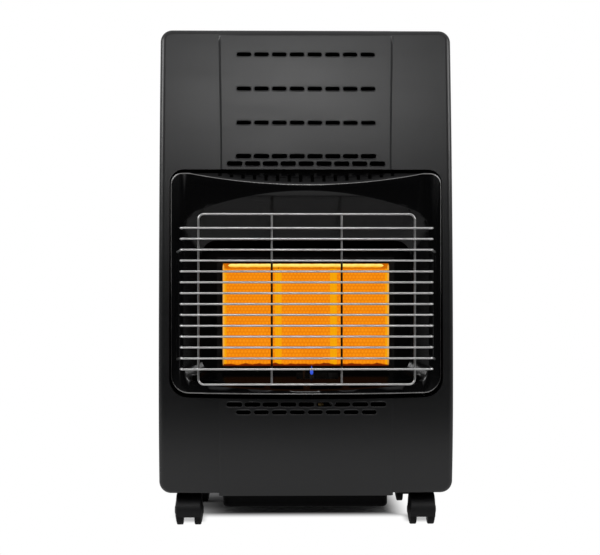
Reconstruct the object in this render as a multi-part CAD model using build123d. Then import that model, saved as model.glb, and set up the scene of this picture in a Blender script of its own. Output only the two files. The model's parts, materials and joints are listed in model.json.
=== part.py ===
from build123d import *
import math
import os

# Gas cabinet heater on casters.
# Frame: +Z up, the burner faces -Y, origin on the floor under the middle of the bounding box. Millimetres.

# ---------------------------------------------------------------- driving dimensions
WIDTH = 420.0            # cabinet, over the side panels
HEIGHT = 717.0           # floor to the top panel
DEPTH = 400.0            # front of the guard to the back of the rear cover
SHEET = 1.0              # steel sheet of the cabinet

SKIRT_Z = 50.0           # bottom edge of the cabinet's sides
CENTRE_SKIRT_Z = 46.8    # bottom edge of the front's raised field
CORNER_R = 17.0          # cabinet corners seen from the front
FACE_EDGE_R = 8.0        # soft edge round the front panel's face
BELLY_Y = -164.0         # the front panel's face where it stands out most
BELLY_Z = 198.0
UPPER_R = 3270.0         # radius of the face above the belly
LOWER_R = 700.0          # and below it
RAISE = 3.5              # height of the raised centre field
RAISE_TOP_W = 126.5      # half-widths of that field: top, above the opening, bottom
RAISE_MID_W = 122.5
RAISE_LOW_W = 124.5
RAISE_MID_Z = 540.0
SEAM_Y = -106.0          # back edge of the front panel
PARTITION_Y = -104.0     # front of the sheet between burners and cylinder
FRAME_BACK_Y = 182.0     # back of the fixed cabinet
SEAM_GAP = 0.4
COLLAR_DEPTH = 9.0       # turned-in edge of the burner opening
FLOOR_FLANGE_Y = -136.0  # back edge of the front panel's flange under the cabinet
FAR = 300.0              # well outside the cabinet, for cutting forms

VENT_PITCH = 25.5        # between slots in a row
VENT_LEN = 20.0
# each row: height of its middle, number of slots, slot height
VENT_ROWS = [(680.4, 8, 4.8), (630.1, 8, 4.8), (580.6, 8, 4.8), (532.2, 8, 5.6),
             (521.4, 9, 6.0), (178.6, 9, 5.6), (167.4, 8, 5.0)]

OPEN_HALF_W = 194.7      # opening for the burner surround
OPEN_TOP_Z = 513.4
OPEN_LOW_Z = 189.0
OPEN_DIP = 3.0           # how much lower the opening's bottom edge is at the middle
OPEN_TOP_R = 20.0
OPEN_LOW_R = 27.0

RIM_HALF_W = 191.9       # burner surround
RIM_TOP_Z = 506.5
RIM_LOW_Z = 195.0
RIM_Y = -192.0           # its lip at the middle
RIM_BOW_R = 590.0        # plan radius of the lip
RIM_BACK_Y = -140.0
RIM_SHEET = 2.0
RIM_TOP_R, RIM_LOW_R = 15.0, 25.0
RIM_LIP_R = 1.6
HEAT_SLOTS, HEAT_SLOT_PITCH, HEAT_SLOT_W = 16, 16.3, 4.8
SHELF_SLOTS, SHELF_SLOT_PITCH, SHELF_SLOT_L, SHELF_SLOT_W = 6, 55.3, 46.0, 11.0
BROW_TOP_Z = 489.0       # the lip's upper edge at the middle
BROW_SLOPE = math.tan(math.radians(36.0))
MOUTH_TOP_Z = 480.5      # the arch's crown
MOUTH_LOW_Z = 199.3
MOUTH_HALF_W = 174.3
STAGE_TOP_Z = 412.0      # the small end of the tapered recess
STAGE_LOW_Z = 222.0
STAGE_HALF_W = 150.0
MOUTH_CORNER_R = 22.0

WIRE_D = 3.0             # guard
GUARD_FRONT_Y = -DEPTH / 2
BAR_COUNT = 14
BAR_TOP_Z = 427.9
BAR_LOW_Z = 230.4
BAR_HALF_W = 176.6
LOOP_HALF_W = 151.6
LOOP_TOP_Z = 447.5
LOOP_LOW_Z = 209.0
LOOP_R = 8.0
UPRIGHT_X = 49.0
HOOKED_BARS = (2, 12)    # counted from the top bar, 0
HOOK_DROP = 2.6          # the hooks enter the surround this far under their bars
HOOK_X = 182.8           # and at this distance from the middle
HOOK_START_Y = -186.0    # where they carry on from the bars' bent ends

PLAQUE_W = 78.9          # ceramic plaques
PLAQUE_H = 147.0
PLAQUE_T = 12.0
PLAQUE_PITCH = 79.5
PLAQUE_MID_Z = 305.4
PLAQUE_FACE_Y = -136.0
PLENUM_Y = PLAQUE_FACE_Y + PLAQUE_T
PLENUM_BACK_Y = -109.0
TUBE_Y = (PLENUM_Y + PLENUM_BACK_Y) / 2
TUBE_R = 6.8             # mixing tubes under the burners
TUBE_LEN = 32.0
TUBE_END_Z = PLAQUE_MID_Z - PLAQUE_H / 2 - TUBE_LEN
PILOT_Y = -147.5
PILOT_X, PROBE_X, SPARK_X = 8.0, -3.0, 31.0
PILOT_SHELF_Z = 212.0

CASTER_X = 169.0
CASTER_FRONT_Y = -92.0
CASTER_REAR_Y = 148.0
WHEEL_R = 21.5
CASTER_TRAIL = 18.0
CASTER_NAMES = ("front_left", "front_right", "rear_left", "rear_right")
HOOD_R = 25.3
HOOD_T = 2.6
HOOD_HALF_W = 18.2
HOOD_LOW_Z = 13.5
NECK_R = 9.5
WEB_HALF_W = 6.8
WHEEL_W = 9.5
WHEEL_IN = 8.2           # inner face of each wheel from the caster's middle
WHEEL_DOME = 2.8         # rise of its outer face
WHEEL_GAP = 0.9          # between a wheel and the hood
TREAD_EDGE_R = 1.8
AXLE_R = 2.5
AXLE_HALF_L = 17.5
STEM_R = 5.0
STEM_LOW_Z = 30.0

TRAY_HALF_W = 121.0      # dropped cylinder tray
TRAY_FRONT_Y = -94.0
TRAY_BACK_Y = 146.0
TRAY_Z = 22.0            # its underside
TRAY_CORNER_R = 12.0
TRAY_FOOT_R = 6.0
BASE_Z = SKIRT_Z + SHEET # underside of the base plate
BASE_T = 1.2

KNOB_X, KNOB_Y = 148.0, 112.0
BUTTON_X, BUTTON_Y = 90.0, 112.0
WELL_FLOOR_Z = 685.0     # top face of the control well's floor
WELL_T = 2.0
WELL_X, WELL_Y, WELL_W, WELL_D = 119.0, 112.0, 132.0, 92.0
WELL_R = 12.0
TAP_TOP_Z = WELL_FLOOR_Z - WELL_T
TAP_PORT_Z = TAP_TOP_Z - 21
TAP_H = 34.0
INLET_Y = KNOB_Y + 24
PLUG_R = 6.0
SPINDLE_R = 3.0
NOZZLE_R, NOZZLE_HEX, NOZZLE_TAIL = 4.0, 7.0, 25.0
PIEZO_H = 50.0

COVER_LOW_Z = 56.0       # rear cover
COVER_TOP_Z = 600.0
COVER_HALF_W = 203.0
HINGE_Y = 191.0
HINGE_Z = 61.5
PIN_R = 2.5
PIN_X = 150.0
COVER_GAP = 2.5          # between the fixed cabinet and the cover's edge
CLIP_X, CLIP_W = 120.0, 18.0
REAR_SLOT_PITCH, REAR_SLOT_LEN = 34.0, 26.0

GRIP_Y, GRIP_Z = 38.0, 628.0     # hand grips in the side panels
GRIP_W, GRIP_H, GRIP_R, GRIP_DEPTH = 96.0, 30.0, 6.0, 21.0
GRIP_WALL = 1.6
TOP_EDGE_Z = HEIGHT - CORNER_R - 5.0     # lower edge of the top panel's sides
FLANGE_W = 24.0          # the side panels' flange under the cabinet
LAP = 12.0               # joggled laps between the panels

# ---------------------------------------------------------------- helpers
FRONT = Plane(origin=(0, 0, 0), x_dir=(1, 0, 0), z_dir=(0, -1, 0))   # seen from the front: x, z
SIDE = Plane(origin=(0, 0, 0), x_dir=(0, 1, 0), z_dir=(1, 0, 0))     # seen from the right: y, z


def slab(x0, x1, y0, y1, z0, z1):
    """A block between two opposite corners."""
    return Pos((x0 + x1) / 2, (y0 + y1) / 2, (z0 + z1) / 2) * Box(x1 - x0, y1 - y0, z1 - z0)


def front_prism(outline, y_front, y_back):
    """A front-view outline carried from y_back forward to y_front."""
    return extrude(FRONT.offset(-y_back) * outline, y_back - y_front)


def side_prism(outline, x0, x1):
    """A side-view outline carried from x0 to x1."""
    return extrude(SIDE.offset(x0) * outline, x1 - x0)


def rounded_box(half_w, z0, z1, r_low, r_top):
    """Front-view rectangle with its own corner radii below and above."""
    outline = Pos(0, (z0 + z1) / 2) * Rectangle(2 * half_w, z1 - z0)
    low = [v for v in outline.vertices() if v.Y < (z0 + z1) / 2]
    outline = fillet(low, r_low)
    top = sorted(outline.vertices(), key=lambda v: v.Y)[-2:]
    return fillet(top, r_top)


def rod(p, q, radius):
    """A round bar from point p to point q."""
    start, end = Vector(*p), Vector(*q)
    axis = end - start
    from_base = (Align.CENTER, Align.CENTER, Align.MIN)
    return Plane(origin=start, z_dir=axis) * Cylinder(radius, axis.length, align=from_base)


def wire_along(points, corner_r, radius):
    """A round wire along straight runs joined by arcs."""
    path = FilletPolyline(*points, radius=corner_r)
    start = Plane(origin=path @ 0, z_dir=path % 0)
    return sweep(start * Circle(radius), path=path)


def mirrored(shape):
    """The same piece on the other side of the cabinet."""
    return mirror(shape, about=Plane.YZ)


def one(shape):
    """The single solid of a boolean's result."""
    solids = shape.solids()
    assert len(solids) == 1, f"{len(solids)} solids"
    return solids[0]


def save(node, *shapes):
    """Write one sub-part: each solid given is one piece of it."""
    solids = [s for shape in shapes for s in shape.solids()]
    body = solids[0] if len(solids) == 1 else Compound(children=solids)
    export_step(body, f"parts/{node}.step")


def face_y(z, inset=0.0):
    """The front face's place in depth at height z, inset towards the back."""
    radius = (UPPER_R if z > BELLY_Z else LOWER_R) - inset
    return BELLY_Y + inset + radius - math.sqrt(radius ** 2 - (z - BELLY_Z) ** 2)


def face_block(inset, z_low, z_top, back_y):
    """The space behind the curved face, from z_low to z_top, over more than the cabinet's width."""
    def arc(z0, z1):
        zm = (z0 + z1) / 2
        return ThreePointArc((face_y(z0, inset), z0), (face_y(zm, inset), zm), (face_y(z1, inset), z1))
    outline = [arc(z_low, BELLY_Z), arc(BELLY_Z, z_top),
               Polyline((face_y(z_top, inset), z_top), (back_y, z_top), (back_y, z_low),
                        (face_y(z_low, inset), z_low))]
    return side_prism(make_face(Curve() + outline), -WIDTH, WIDTH)


def front_edges(part, back_y):
    """The edges that run round a part's front face."""
    chosen = []
    for edge in part.edges():
        middle = edge.center()
        along_y = edge.geom_type == GeomType.LINE and abs(edge.tangent_at(0.5).Y) > 0.99
        belly_seam = edge.geom_type == GeomType.LINE and abs(middle.Z - BELLY_Z) < 0.5
        at_back = edge.bounding_box().max.Y > back_y - 0.01
        if not (along_y or belly_seam or at_back):
            chosen.append(edge)
    return chosen


def raised_outline(inset):
    """Front-view outline of the raised centre field."""
    top, mid, low = RAISE_TOP_W - inset, RAISE_MID_W - inset, RAISE_LOW_W - inset
    z_low, z_top = CENTRE_SKIRT_Z + inset, HEIGHT - inset
    points = [(-low, z_low), (low, z_low), (low, BELLY_Z), (mid, RAISE_MID_Z), (top, z_top),
              (-top, z_top), (-mid, RAISE_MID_Z), (-low, BELLY_Z)]
    return make_face(Polyline(*points, close=True))


def vent_slots(y_front, y_back):
    """Every vent slot as a solid to cut."""
    slots = []
    for z, count, height in VENT_ROWS:
        for i in range(count):
            x = (i - (count - 1) / 2) * VENT_PITCH
            slot = Pos(x, z) * SlotOverall(VENT_LEN if height < 5.5 else VENT_LEN + 1.5, height)
            slots.append(front_prism(slot, y_front, y_back))
    return slots


def opening_outline(margin):
    """Front-view outline of the burner opening, grown by margin, its bottom edge dipping in an arc."""
    w, top, low = OPEN_HALF_W + margin, OPEN_TOP_Z + margin, OPEN_LOW_Z - margin
    outline = make_face(Curve() + [
        ThreePointArc((-w, low), (0, low - OPEN_DIP), (w, low)),
        Polyline((w, low), (w, top), (-w, top), (-w, low))])
    corners = sorted(outline.vertices(), key=lambda v: v.Y)
    outline = fillet(corners[:2], OPEN_LOW_R + margin)
    return fillet(sorted(outline.vertices(), key=lambda v: v.Y)[-2:], OPEN_TOP_R + margin)


# ---------------------------------------------------------------- cabinet
def panel_skin(inset):
    """The front panel's outer form (inset 0) or the space inside it (inset = sheet)."""
    reach = SEAM_Y if inset == 0 else SEAM_Y + 5
    box_outline = rounded_box(WIDTH / 2 - inset, SKIRT_Z + inset, HEIGHT - inset,
                              CORNER_R - inset, CORNER_R - inset)
    base = face_block(inset, SKIRT_Z, HEIGHT, reach) & front_prism(box_outline, -FAR, reach)
    base = fillet(front_edges(base, reach), FACE_EDGE_R - inset)
    field = face_block(inset - RAISE, CENTRE_SKIRT_Z, HEIGHT, reach)
    field &= front_prism(raised_outline(inset), -FAR, reach)
    field = fillet([e for e in front_edges(field, reach) if e.center().Z > HEIGHT - inset - 1],
                   FACE_EDGE_R + RAISE - inset)
    walls = [e for e in front_edges(field, reach)
             if abs(e.center().X) > 100 and CENTRE_SKIRT_Z + 3 < e.center().Z < HEIGHT - 14]
    field = chamfer(walls, RAISE - 0.2)
    return base + field


def front_panel():
    outer = panel_skin(0.0)
    inner = panel_skin(SHEET)
    shell = outer - inner
    # the bottom return is a narrow flange, so the rest of the floor comes away
    shell -= slab(-WIDTH, WIDTH, FLOOR_FLANGE_Y, 0, 0, SKIRT_Z + 6)
    # the opening gets a turned-in edge
    face = face_block(0.0, SKIRT_Z, HEIGHT, SEAM_Y)
    deeper = face_block(COLLAR_DEPTH, SKIRT_Z, HEIGHT, SEAM_Y + 5)
    shell += front_prism(opening_outline(SHEET), -FAR, SEAM_Y) & (face - deeper)
    shell -= front_prism(opening_outline(0), -FAR, SEAM_Y + 5)
    for slot in vent_slots(-FAR, SEAM_Y + 5):
        shell -= slot
    return one(shell)


def side_panel(side):
    """Side sheet, bent in under the cabinet and at the back, with the cut-out for the hand grip."""
    x = WIDTH / 2
    front_y = SEAM_Y + SEAM_GAP
    top_z = TOP_EDGE_Z - SEAM_GAP
    outer = front_prism(rounded_box(x, SKIRT_Z, HEIGHT, CORNER_R, 1), front_y, FRAME_BACK_Y)
    inner = front_prism(rounded_box(x - SHEET, SKIRT_Z + SHEET, HEIGHT + 5, CORNER_R - SHEET, 1),
                        front_y - 1, FRAME_BACK_Y + 1)
    sheet = (outer - inner) & slab(x - FLANGE_W, x, front_y, FRAME_BACK_Y, SKIRT_Z, top_z)
    sheet += slab(x - 15, x - SHEET, FRAME_BACK_Y - SHEET, FRAME_BACK_Y, SKIRT_Z + CORNER_R, top_z)
    # laps behind the front panel and under the top panel
    lap_x = x - 2 * SHEET
    sheet += slab(lap_x, x - SHEET, front_y - LAP, front_y + LAP, SKIRT_Z + 20, top_z - 10)
    sheet += slab(lap_x, x - SHEET, front_y + LAP, FRAME_BACK_Y - 4, top_z - 8, top_z + 4)
    grip = Pos(GRIP_Y, GRIP_Z) * RectangleRounded(GRIP_W, GRIP_H, GRIP_R)
    sheet -= side_prism(grip, x - 10, x + 10)
    return one(sheet if side > 0 else mirrored(sheet))


def handle_cup(side):
    """Moulded hand grip: a cup through the side panel with a flange behind the sheet."""
    x = WIDTH / 2

    def block(grow, x0, x1):
        outline = RectangleRounded(GRIP_W + 2 * grow, GRIP_H + 2 * grow, GRIP_R + grow)
        return side_prism(Pos(GRIP_Y, GRIP_Z) * outline, x0, x1)
    cup = block(-0.2, x - GRIP_DEPTH, x) - block(-GRIP_WALL, x - GRIP_DEPTH + GRIP_WALL, x + 1)
    cup = fillet([e for e in cup.edges() if abs(e.center().X - x) < 0.01], 0.5)
    cup += block(4, x - SHEET - GRIP_WALL, x - SHEET) - block(-1, x - 9, x)
    return one(cup if side > 0 else mirrored(cup))


def top_panel():
    """Top sheet with rounded long edges, a rear flange and the cut-out for the control well."""
    front_y = SEAM_Y + SEAM_GAP
    skirt_z = TOP_EDGE_Z - 30

    def cover(inset, y_front, y_back):
        outline = rounded_box(WIDTH / 2 - inset, skirt_z, HEIGHT - inset, 1, CORNER_R - inset)
        return front_prism(outline, y_front, y_back)
    sheet = cover(0, front_y, FRAME_BACK_Y) - cover(SHEET, front_y - 5, FRAME_BACK_Y - SHEET)
    sheet -= slab(-WIDTH, WIDTH, -200, 300, 0, TOP_EDGE_Z)
    rear = [e for e in sheet.edges() if e.center().Y > FRAME_BACK_Y - 0.01 and e.center().Z > HEIGHT - 0.01]
    sheet = fillet(rear, 0.9)
    well = Pos(WELL_X, WELL_Y) * RectangleRounded(WELL_W, WELL_D, WELL_R)
    sheet -= extrude(Plane.XY.offset(HEIGHT - 10) * well, 20)
    return one(sheet)


def control_panel():
    """The moulded well that holds the knob and the igniter button below the top panel's level."""
    under = WELL_FLOOR_Z - WELL_T
    rim_t = 2.5

    def block(grow, z0, z1):
        outline = RectangleRounded(WELL_W + 2 * grow, WELL_D + 2 * grow, WELL_R + grow)
        return extrude(Plane.XY.offset(z0) * Pos(WELL_X, WELL_Y) * outline, z1 - z0)
    body = block(-0.3, under, HEIGHT) + block(5, HEIGHT - SHEET - rim_t, HEIGHT - SHEET)
    body -= block(-0.3 - WELL_T, WELL_FLOOR_Z, HEIGHT + 20)
    body = fillet([e for e in body.edges() if abs(e.center().Z - HEIGHT) < 0.01], 0.8)
    for x, y in ((KNOB_X, KNOB_Y), (BUTTON_X, BUTTON_Y)):
        body -= rod((x, y, under - 1), (x, y, WELL_FLOOR_Z + 1), 9.0)
    return one(body)


def base_plate():
    """Floor of the cabinet with the dropped tray for the cylinder's foot ring."""
    half = WIDTH / 2 - CORNER_R - 1
    front_y, flange_h = -135, 14
    plate = slab(-half, half, front_y, FRAME_BACK_Y, BASE_Z, BASE_Z + BASE_T)
    for y0 in (front_y, FRAME_BACK_Y - BASE_T):
        plate += slab(-half, half, y0, y0 + BASE_T, BASE_Z, BASE_Z + flange_h)

    def tray(inset, z_top):
        mid_y, depth, low = (TRAY_FRONT_Y + TRAY_BACK_Y) / 2, TRAY_BACK_Y - TRAY_FRONT_Y, TRAY_Z + inset
        outline = RectangleRounded(2 * (TRAY_HALF_W - inset), depth - 2 * inset, TRAY_CORNER_R - inset)
        block = extrude(Plane.XY.offset(low) * Pos(0, mid_y) * outline, z_top - low)
        return fillet([e for e in block.edges() if abs(e.center().Z - low) < 0.01], TRAY_FOOT_R - inset)
    plate += tray(0, BASE_Z)
    plate -= tray(BASE_T, BASE_Z + 5)
    for x, y in caster_places():
        plate -= rod((x, y, BASE_Z - 1), (x, y, BASE_Z + 3), STEM_R + 0.2)
    return one(plate)


def partition_panel():
    """Heat shield between the burners and the cylinder, its foot screwed to the base plate."""
    y, low_z, top_z = PARTITION_Y, BASE_Z + BASE_T, 668
    outline = rounded_box(WIDTH / 2 - 2 * SHEET, low_z, top_z, CORNER_R - 1, 1)
    sheet = front_prism(outline, y, y + SHEET)
    sheet += slab(-145, 145, y - 8, y, low_z, low_z + SHEET)
    # window for the pipes and leads
    sheet -= slab(145, 200, y - 1, y + 2, 134, 192)
    return one(sheet)


def top_deflector():
    """Bent sheet over the burners that turns the hot air out through the upper slots."""
    half_w, lean = 185, 14
    low_z, bend_z, lip_z, top_z = 545, 560, 690, 700
    y0, y1 = PARTITION_Y - SHEET, PARTITION_Y
    profile = [(y1, low_z), (y0, low_z), (y0, bend_z), (y0 - lean, lip_z), (y0 - lean, top_z),
               (y1 - lean, top_z), (y1 - lean, lip_z), (y1, bend_z)]
    return one(side_prism(make_face(Polyline(*profile, close=True)), -half_w, half_w))


def rear_screw_places():
    """Where the upper rear panel is screwed on, seen from the front."""
    return [(x, z) for x in (-199, 199) for z in (614, 698)]


def rear_panel_upper():
    """Fixed upper back sheet with a raised field of vent slots."""
    y0, y1 = FRAME_BACK_Y, FRAME_BACK_Y + SHEET
    field_w, field_low, field_high, raise_y = 190, 640, 690, 3
    sheet = slab(-204, 204, y0, y1, COVER_TOP_Z + 4, 707)
    sheet += slab(-field_w, field_w, y1, y1 + raise_y, field_low, field_high)
    sheet -= slab(-field_w + SHEET, field_w - SHEET, y0 - 1, y1 + raise_y - SHEET,
                  field_low + SHEET, field_high - SHEET)
    columns = 10
    for i in range(columns):
        for z in (655, 665, 675):
            slot = Pos((i - (columns - 1) / 2) * REAR_SLOT_PITCH, z) * SlotOverall(REAR_SLOT_LEN, 4)
            sheet -= front_prism(slot, y0 - 5, y0 + 10)
    for x, z in rear_screw_places():
        sheet -= rod((x, y0 - 2, z), (x, y0 + 5, z), 2.2)
    return one(sheet)


def cover_form(inset):
    """The rear cover's outer form (inset 0) or inner space: a shallow pan with soft edges."""
    y0, y1 = FRAME_BACK_Y + COVER_GAP, DEPTH / 2
    outline = Pos(0, (COVER_LOW_Z + COVER_TOP_Z) / 2) * RectangleRounded(
        2 * (COVER_HALF_W - inset), COVER_TOP_Z - COVER_LOW_Z - 2 * inset, 14 - inset)
    front = y0 if inset == 0 else y0 - 5
    pan = front_prism(outline, front, y1 - inset)
    back_edges = [e for e in pan.edges() if abs(e.center().Y - (y1 - inset)) < 0.01]
    return fillet(back_edges, 7 - inset)


def rear_cover():
    """Removable back cover over the cylinder, with vents, a grip recess and two hinge ears."""
    cover = cover_form(0) - cover_form(SHEET)
    columns, rows, row_pitch = 9, 4, 12
    for low_row_z in (110, 520):
        for row in range(rows):
            for i in range(columns):
                x, z = (i - (columns - 1) / 2) * REAR_SLOT_PITCH, low_row_z + row * row_pitch
                cover -= front_prism(Pos(x, z) * SlotOverall(REAR_SLOT_LEN, 5), 190, 210)
    grip_z = COVER_TOP_Z - 26
    cover += front_prism(Pos(0, grip_z) * RectangleRounded(100, 24, 8), 188, 201) & cover_form(0)
    cover -= front_prism(Pos(0, grip_z) * RectangleRounded(98, 22, 7), 189, 202)
    for side in (-1, 1):
        x = side * PIN_X
        cover += slab(x - 1, x + 1, HINGE_Y - 5, DEPTH / 2 - SHEET, COVER_LOW_Z + SHEET, HINGE_Z + 6)
        cover -= rod((x - 3, HINGE_Y, HINGE_Z), (x + 3, HINGE_Y, HINGE_Z), PIN_R + 0.06)
        # the pin's bracket passes through here
        x0, x1 = sorted((x + side * 2.5, x + side * 19))
        cover -= slab(x0, x1, FRAME_BACK_Y, DEPTH / 2 + 1, COVER_LOW_Z - 1, HINGE_Z + 5)
    return one(cover)


def rear_cover_pins():
    """Two hinge pins, each on a bracket fixed to the back of the base plate."""
    x, y = PIN_X, FRAME_BACK_Y
    pin = rod((x - 4, HINGE_Y, HINGE_Z), (x + 4, HINGE_Y, HINGE_Z), PIN_R)
    lug = slab(x + 3, x + 4.5, y, HINGE_Y + 4, HINGE_Z - 4, HINGE_Z + 4)
    foot = slab(x + 3, x + 18, y, y + 1.2, HINGE_Z - 4, HINGE_Z + 3)
    right = one(pin + lug + foot)
    return [mirrored(right), right]


def rear_cover_clips():
    """Two spring tongues on the upper rear panel that hold the cover's top edge."""
    y, z = FRAME_BACK_Y + SHEET, COVER_TOP_Z
    profile = [(y, z + 22), (y + 1, z + 22), (y + 1, z + 2.4), (y + 9, z + 2.4), (y + 9, z + 0.4),
               (y + 8, z + 0.4), (y + 8, z + 1.4), (y, z + 1.4)]
    face = make_face(Polyline(*profile, close=True))
    return [side_prism(face, x - CLIP_W / 2, x + CLIP_W / 2) for x in (-CLIP_X, CLIP_X)]


# ---------------------------------------------------------------- burner surround
def mouth_form(grow):
    """The tapered recess: a frustum from the wide mouth to the stage, its long edges rounded."""
    front_y = RIM_Y - 20
    span = RIM_BACK_Y - RIM_Y
    steps = (front_y - RIM_Y) / span

    def at_front(stage, mouth):
        return mouth + (mouth - stage) * -steps
    y0, y1 = front_y, RIM_BACK_Y + (0.05 if grow == 0 else 0)
    far = (STAGE_HALF_W + grow, STAGE_LOW_Z - grow, STAGE_TOP_Z + grow)
    near = (at_front(STAGE_HALF_W, SIDE_WALL_W) + grow, at_front(STAGE_LOW_Z, MOUTH_LOW_Z) - grow,
            at_front(STAGE_TOP_Z, MOUTH_TOP_Z) + grow)
    sections = []
    for y, (w, low, top) in ((y1, far), (y0, near)):
        outline = Pos(0, (low + top) / 2) * RectangleRounded(2 * w, top - low, MOUTH_CORNER_R + grow)
        sections.append(FRONT.offset(-y) * outline)
    return loft(sections, ruled=True)


RIM_SIDE_Y = RIM_Y + RIM_BOW_R - math.sqrt(RIM_BOW_R ** 2 - MOUTH_HALF_W ** 2)
# half-width that the tapered side walls would reach at the lip's foremost plane
SIDE_SPLAY = (MOUTH_HALF_W - STAGE_HALF_W) / (RIM_BACK_Y - RIM_SIDE_Y)
SIDE_WALL_W = STAGE_HALF_W + SIDE_SPLAY * (RIM_BACK_Y - RIM_Y)


def bow_cylinder(inset):
    """The upright cylinder of the lip's bow, inset towards its axis."""
    return Pos(0, RIM_Y + RIM_BOW_R, 350) * Cylinder(RIM_BOW_R - inset, 500)


def rim_form(inset):
    """The surround's outside: bowed front, sloping top, rounded sides."""
    back = RIM_BACK_Y if inset == 0 else RIM_BACK_Y + 10
    outline = rounded_box(RIM_HALF_W - inset, RIM_LOW_Z + inset, RIM_TOP_Z - inset, RIM_LOW_R - inset,
                          RIM_TOP_R - inset)
    block = front_prism(outline, RIM_Y - 5, back)
    block &= bow_cylinder(inset)
    cut_z = BROW_TOP_Z - inset * math.hypot(1, BROW_SLOPE)
    roof = [(RIM_Y - 40, cut_z - 40 * BROW_SLOPE), (RIM_Y - 40, 900), (back + 20, 900),
            (back + 20, cut_z + (back + 20 - RIM_Y) * BROW_SLOPE)]
    block -= side_prism(make_face(Polyline(*roof, close=True)), -WIDTH, WIDTH)
    if inset == 0:
        lip = [e for e in block.edges() if e.center().Y < RIM_BACK_Y - 15 and e.geom_type != GeomType.LINE
               and e.bounding_box().max.Y < -150]
        lip = [e for e in lip if e.bounding_box().size.X > 1]
        block = fillet(lip, RIM_LIP_R)
    return block


def burner_surround():
    """Glossy frame round the burners, a pressed shell open at the back."""
    shell = rim_form(0) - mouth_form(0)
    core = rim_form(RIM_SHEET) - mouth_form(RIM_SHEET)
    shell -= core
    # heat slots in the sloping top
    for i in range(HEAT_SLOTS):
        x = (i - (HEAT_SLOTS - 1) / 2) * HEAT_SLOT_PITCH
        shell -= slab(x - HEAT_SLOT_W / 2, x + HEAT_SLOT_W / 2, rim_front_y(x) + 5.5, -160, 484, 520)
    # air slots in the lower shelf, along the bow
    near = 3 * RIM_LIP_R
    band = bow_cylinder(near) - bow_cylinder(near + SHELF_SLOT_W)
    for i in range(SHELF_SLOTS):
        x = (i - (SHELF_SLOTS - 1) / 2) * SHELF_SLOT_PITCH
        shell -= band & slab(x - SHELF_SLOT_L / 2, x + SHELF_SLOT_L / 2, RIM_Y, RIM_BACK_Y, 190, 220)
    # window for the pilot and its probes
    shell -= slab(-14, 46, -158, RIM_BACK_Y + 1, 190, 226)
    for side in (-1, 1):
        for k in HOOKED_BARS:
            z = bar_z(k) - HOOK_DROP
            shell -= rod((side * HOOK_X, -200, z), (side * HOOK_X, -150, z), WIRE_D / 2 + 0.15)
    return one(shell)


# ---------------------------------------------------------------- wire guard
def bar_z(k):
    """Height of crossbar k, counted from the top."""
    return BAR_TOP_Z + (BAR_LOW_Z - BAR_TOP_Z) * k / (BAR_COUNT - 1)


def rim_front_y(x):
    """Depth of the surround's bowed face at x."""
    return RIM_Y + RIM_BOW_R - math.sqrt(RIM_BOW_R ** 2 - x * x)


def guard_bars():
    """Fourteen crossbars, both ends bent straight back, to the hooks or short of the surround."""
    r = WIRE_D / 2
    y = GUARD_FRONT_Y + r
    bars = []
    for k in range(BAR_COUNT):
        z = bar_z(k)
        x = BAR_HALF_W
        end_y = HOOK_START_Y if k in HOOKED_BARS else rim_front_y(BAR_HALF_W) - 2.5
        bars.append(wire_along([(-x, end_y, z), (-x, y, z), (x, y, z), (x, end_y, z)], 5, r))
    return bars


def guard_loop():
    """Rounded rectangular wire behind the crossbars."""
    r = WIRE_D / 2
    y = GUARD_FRONT_Y + 3 * r
    outline = rounded_box(LOOP_HALF_W, LOOP_LOW_Z, LOOP_TOP_Z, LOOP_R, LOOP_R)
    path = (FRONT.offset(-y) * outline).wires()[0]
    start = Plane(origin=path @ 0, z_dir=path % 0)
    return sweep(start * Circle(r), path=path)


def guard_uprights():
    """Two uprights between the crossbars and the loop's top and bottom."""
    r = WIRE_D / 2
    y = GUARD_FRONT_Y + 3 * r
    return [rod((x, y, LOOP_LOW_Z + r), (x, y, LOOP_TOP_Z - r), r) for x in (-UPRIGHT_X, UPRIGHT_X)]


def guard_hooks():
    """Four legs that carry on from two crossbars' bent ends, splay out and enter the surround's face."""
    deep = rim_front_y(HOOK_X) + 4
    x = BAR_HALF_W
    hooks = []
    for k in HOOKED_BARS:
        z = bar_z(k)
        low = z - HOOK_DROP
        path = [(x, HOOK_START_Y, z), (x, HOOK_START_Y + 3, z),
                (HOOK_X, deep - 7, low), (HOOK_X, deep, low)]
        hook = wire_along(path, WIRE_D, WIRE_D / 2)
        hooks += [hook, mirrored(hook)]
    return hooks


# ---------------------------------------------------------------- burners
def plaque(i):
    """One ceramic plaque."""
    x = (i - 1) * PLAQUE_PITCH
    tile = slab(x - PLAQUE_W / 2, x + PLAQUE_W / 2, PLAQUE_FACE_Y, PLENUM_Y,
                PLAQUE_MID_Z - PLAQUE_H / 2, PLAQUE_MID_Z + PLAQUE_H / 2)
    front = [e for e in tile.edges() if abs(e.center().Y - PLAQUE_FACE_Y) < 0.01]
    return one(chamfer(front, 0.8))


def burner(i):
    """Pressed burner body behind a plaque, with its mixing tube hanging below."""
    x = (i - 1) * PLAQUE_PITCH
    half = PLAQUE_W / 2
    z0, z1 = PLAQUE_MID_Z - PLAQUE_H / 2, PLAQUE_MID_Z + PLAQUE_H / 2
    body = slab(x - half, x + half, PLENUM_Y, PLENUM_BACK_Y, z0, z1)
    body = fillet([e for e in body.edges() if abs(e.center().Y - PLENUM_BACK_Y) < 0.01], 5)
    body += rod((x, TUBE_Y, TUBE_END_Z), (x, TUBE_Y, z0 + 8), TUBE_R)
    body -= slab(x - half + 1, x + half - 1, PLENUM_Y - 1, PLENUM_BACK_Y - 1, z0 + 1, z1 - 1)
    body -= rod((x, TUBE_Y, TUBE_END_Z - 1), (x, TUBE_Y, z0 + 9), TUBE_R - 1)
    return one(body)


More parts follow.
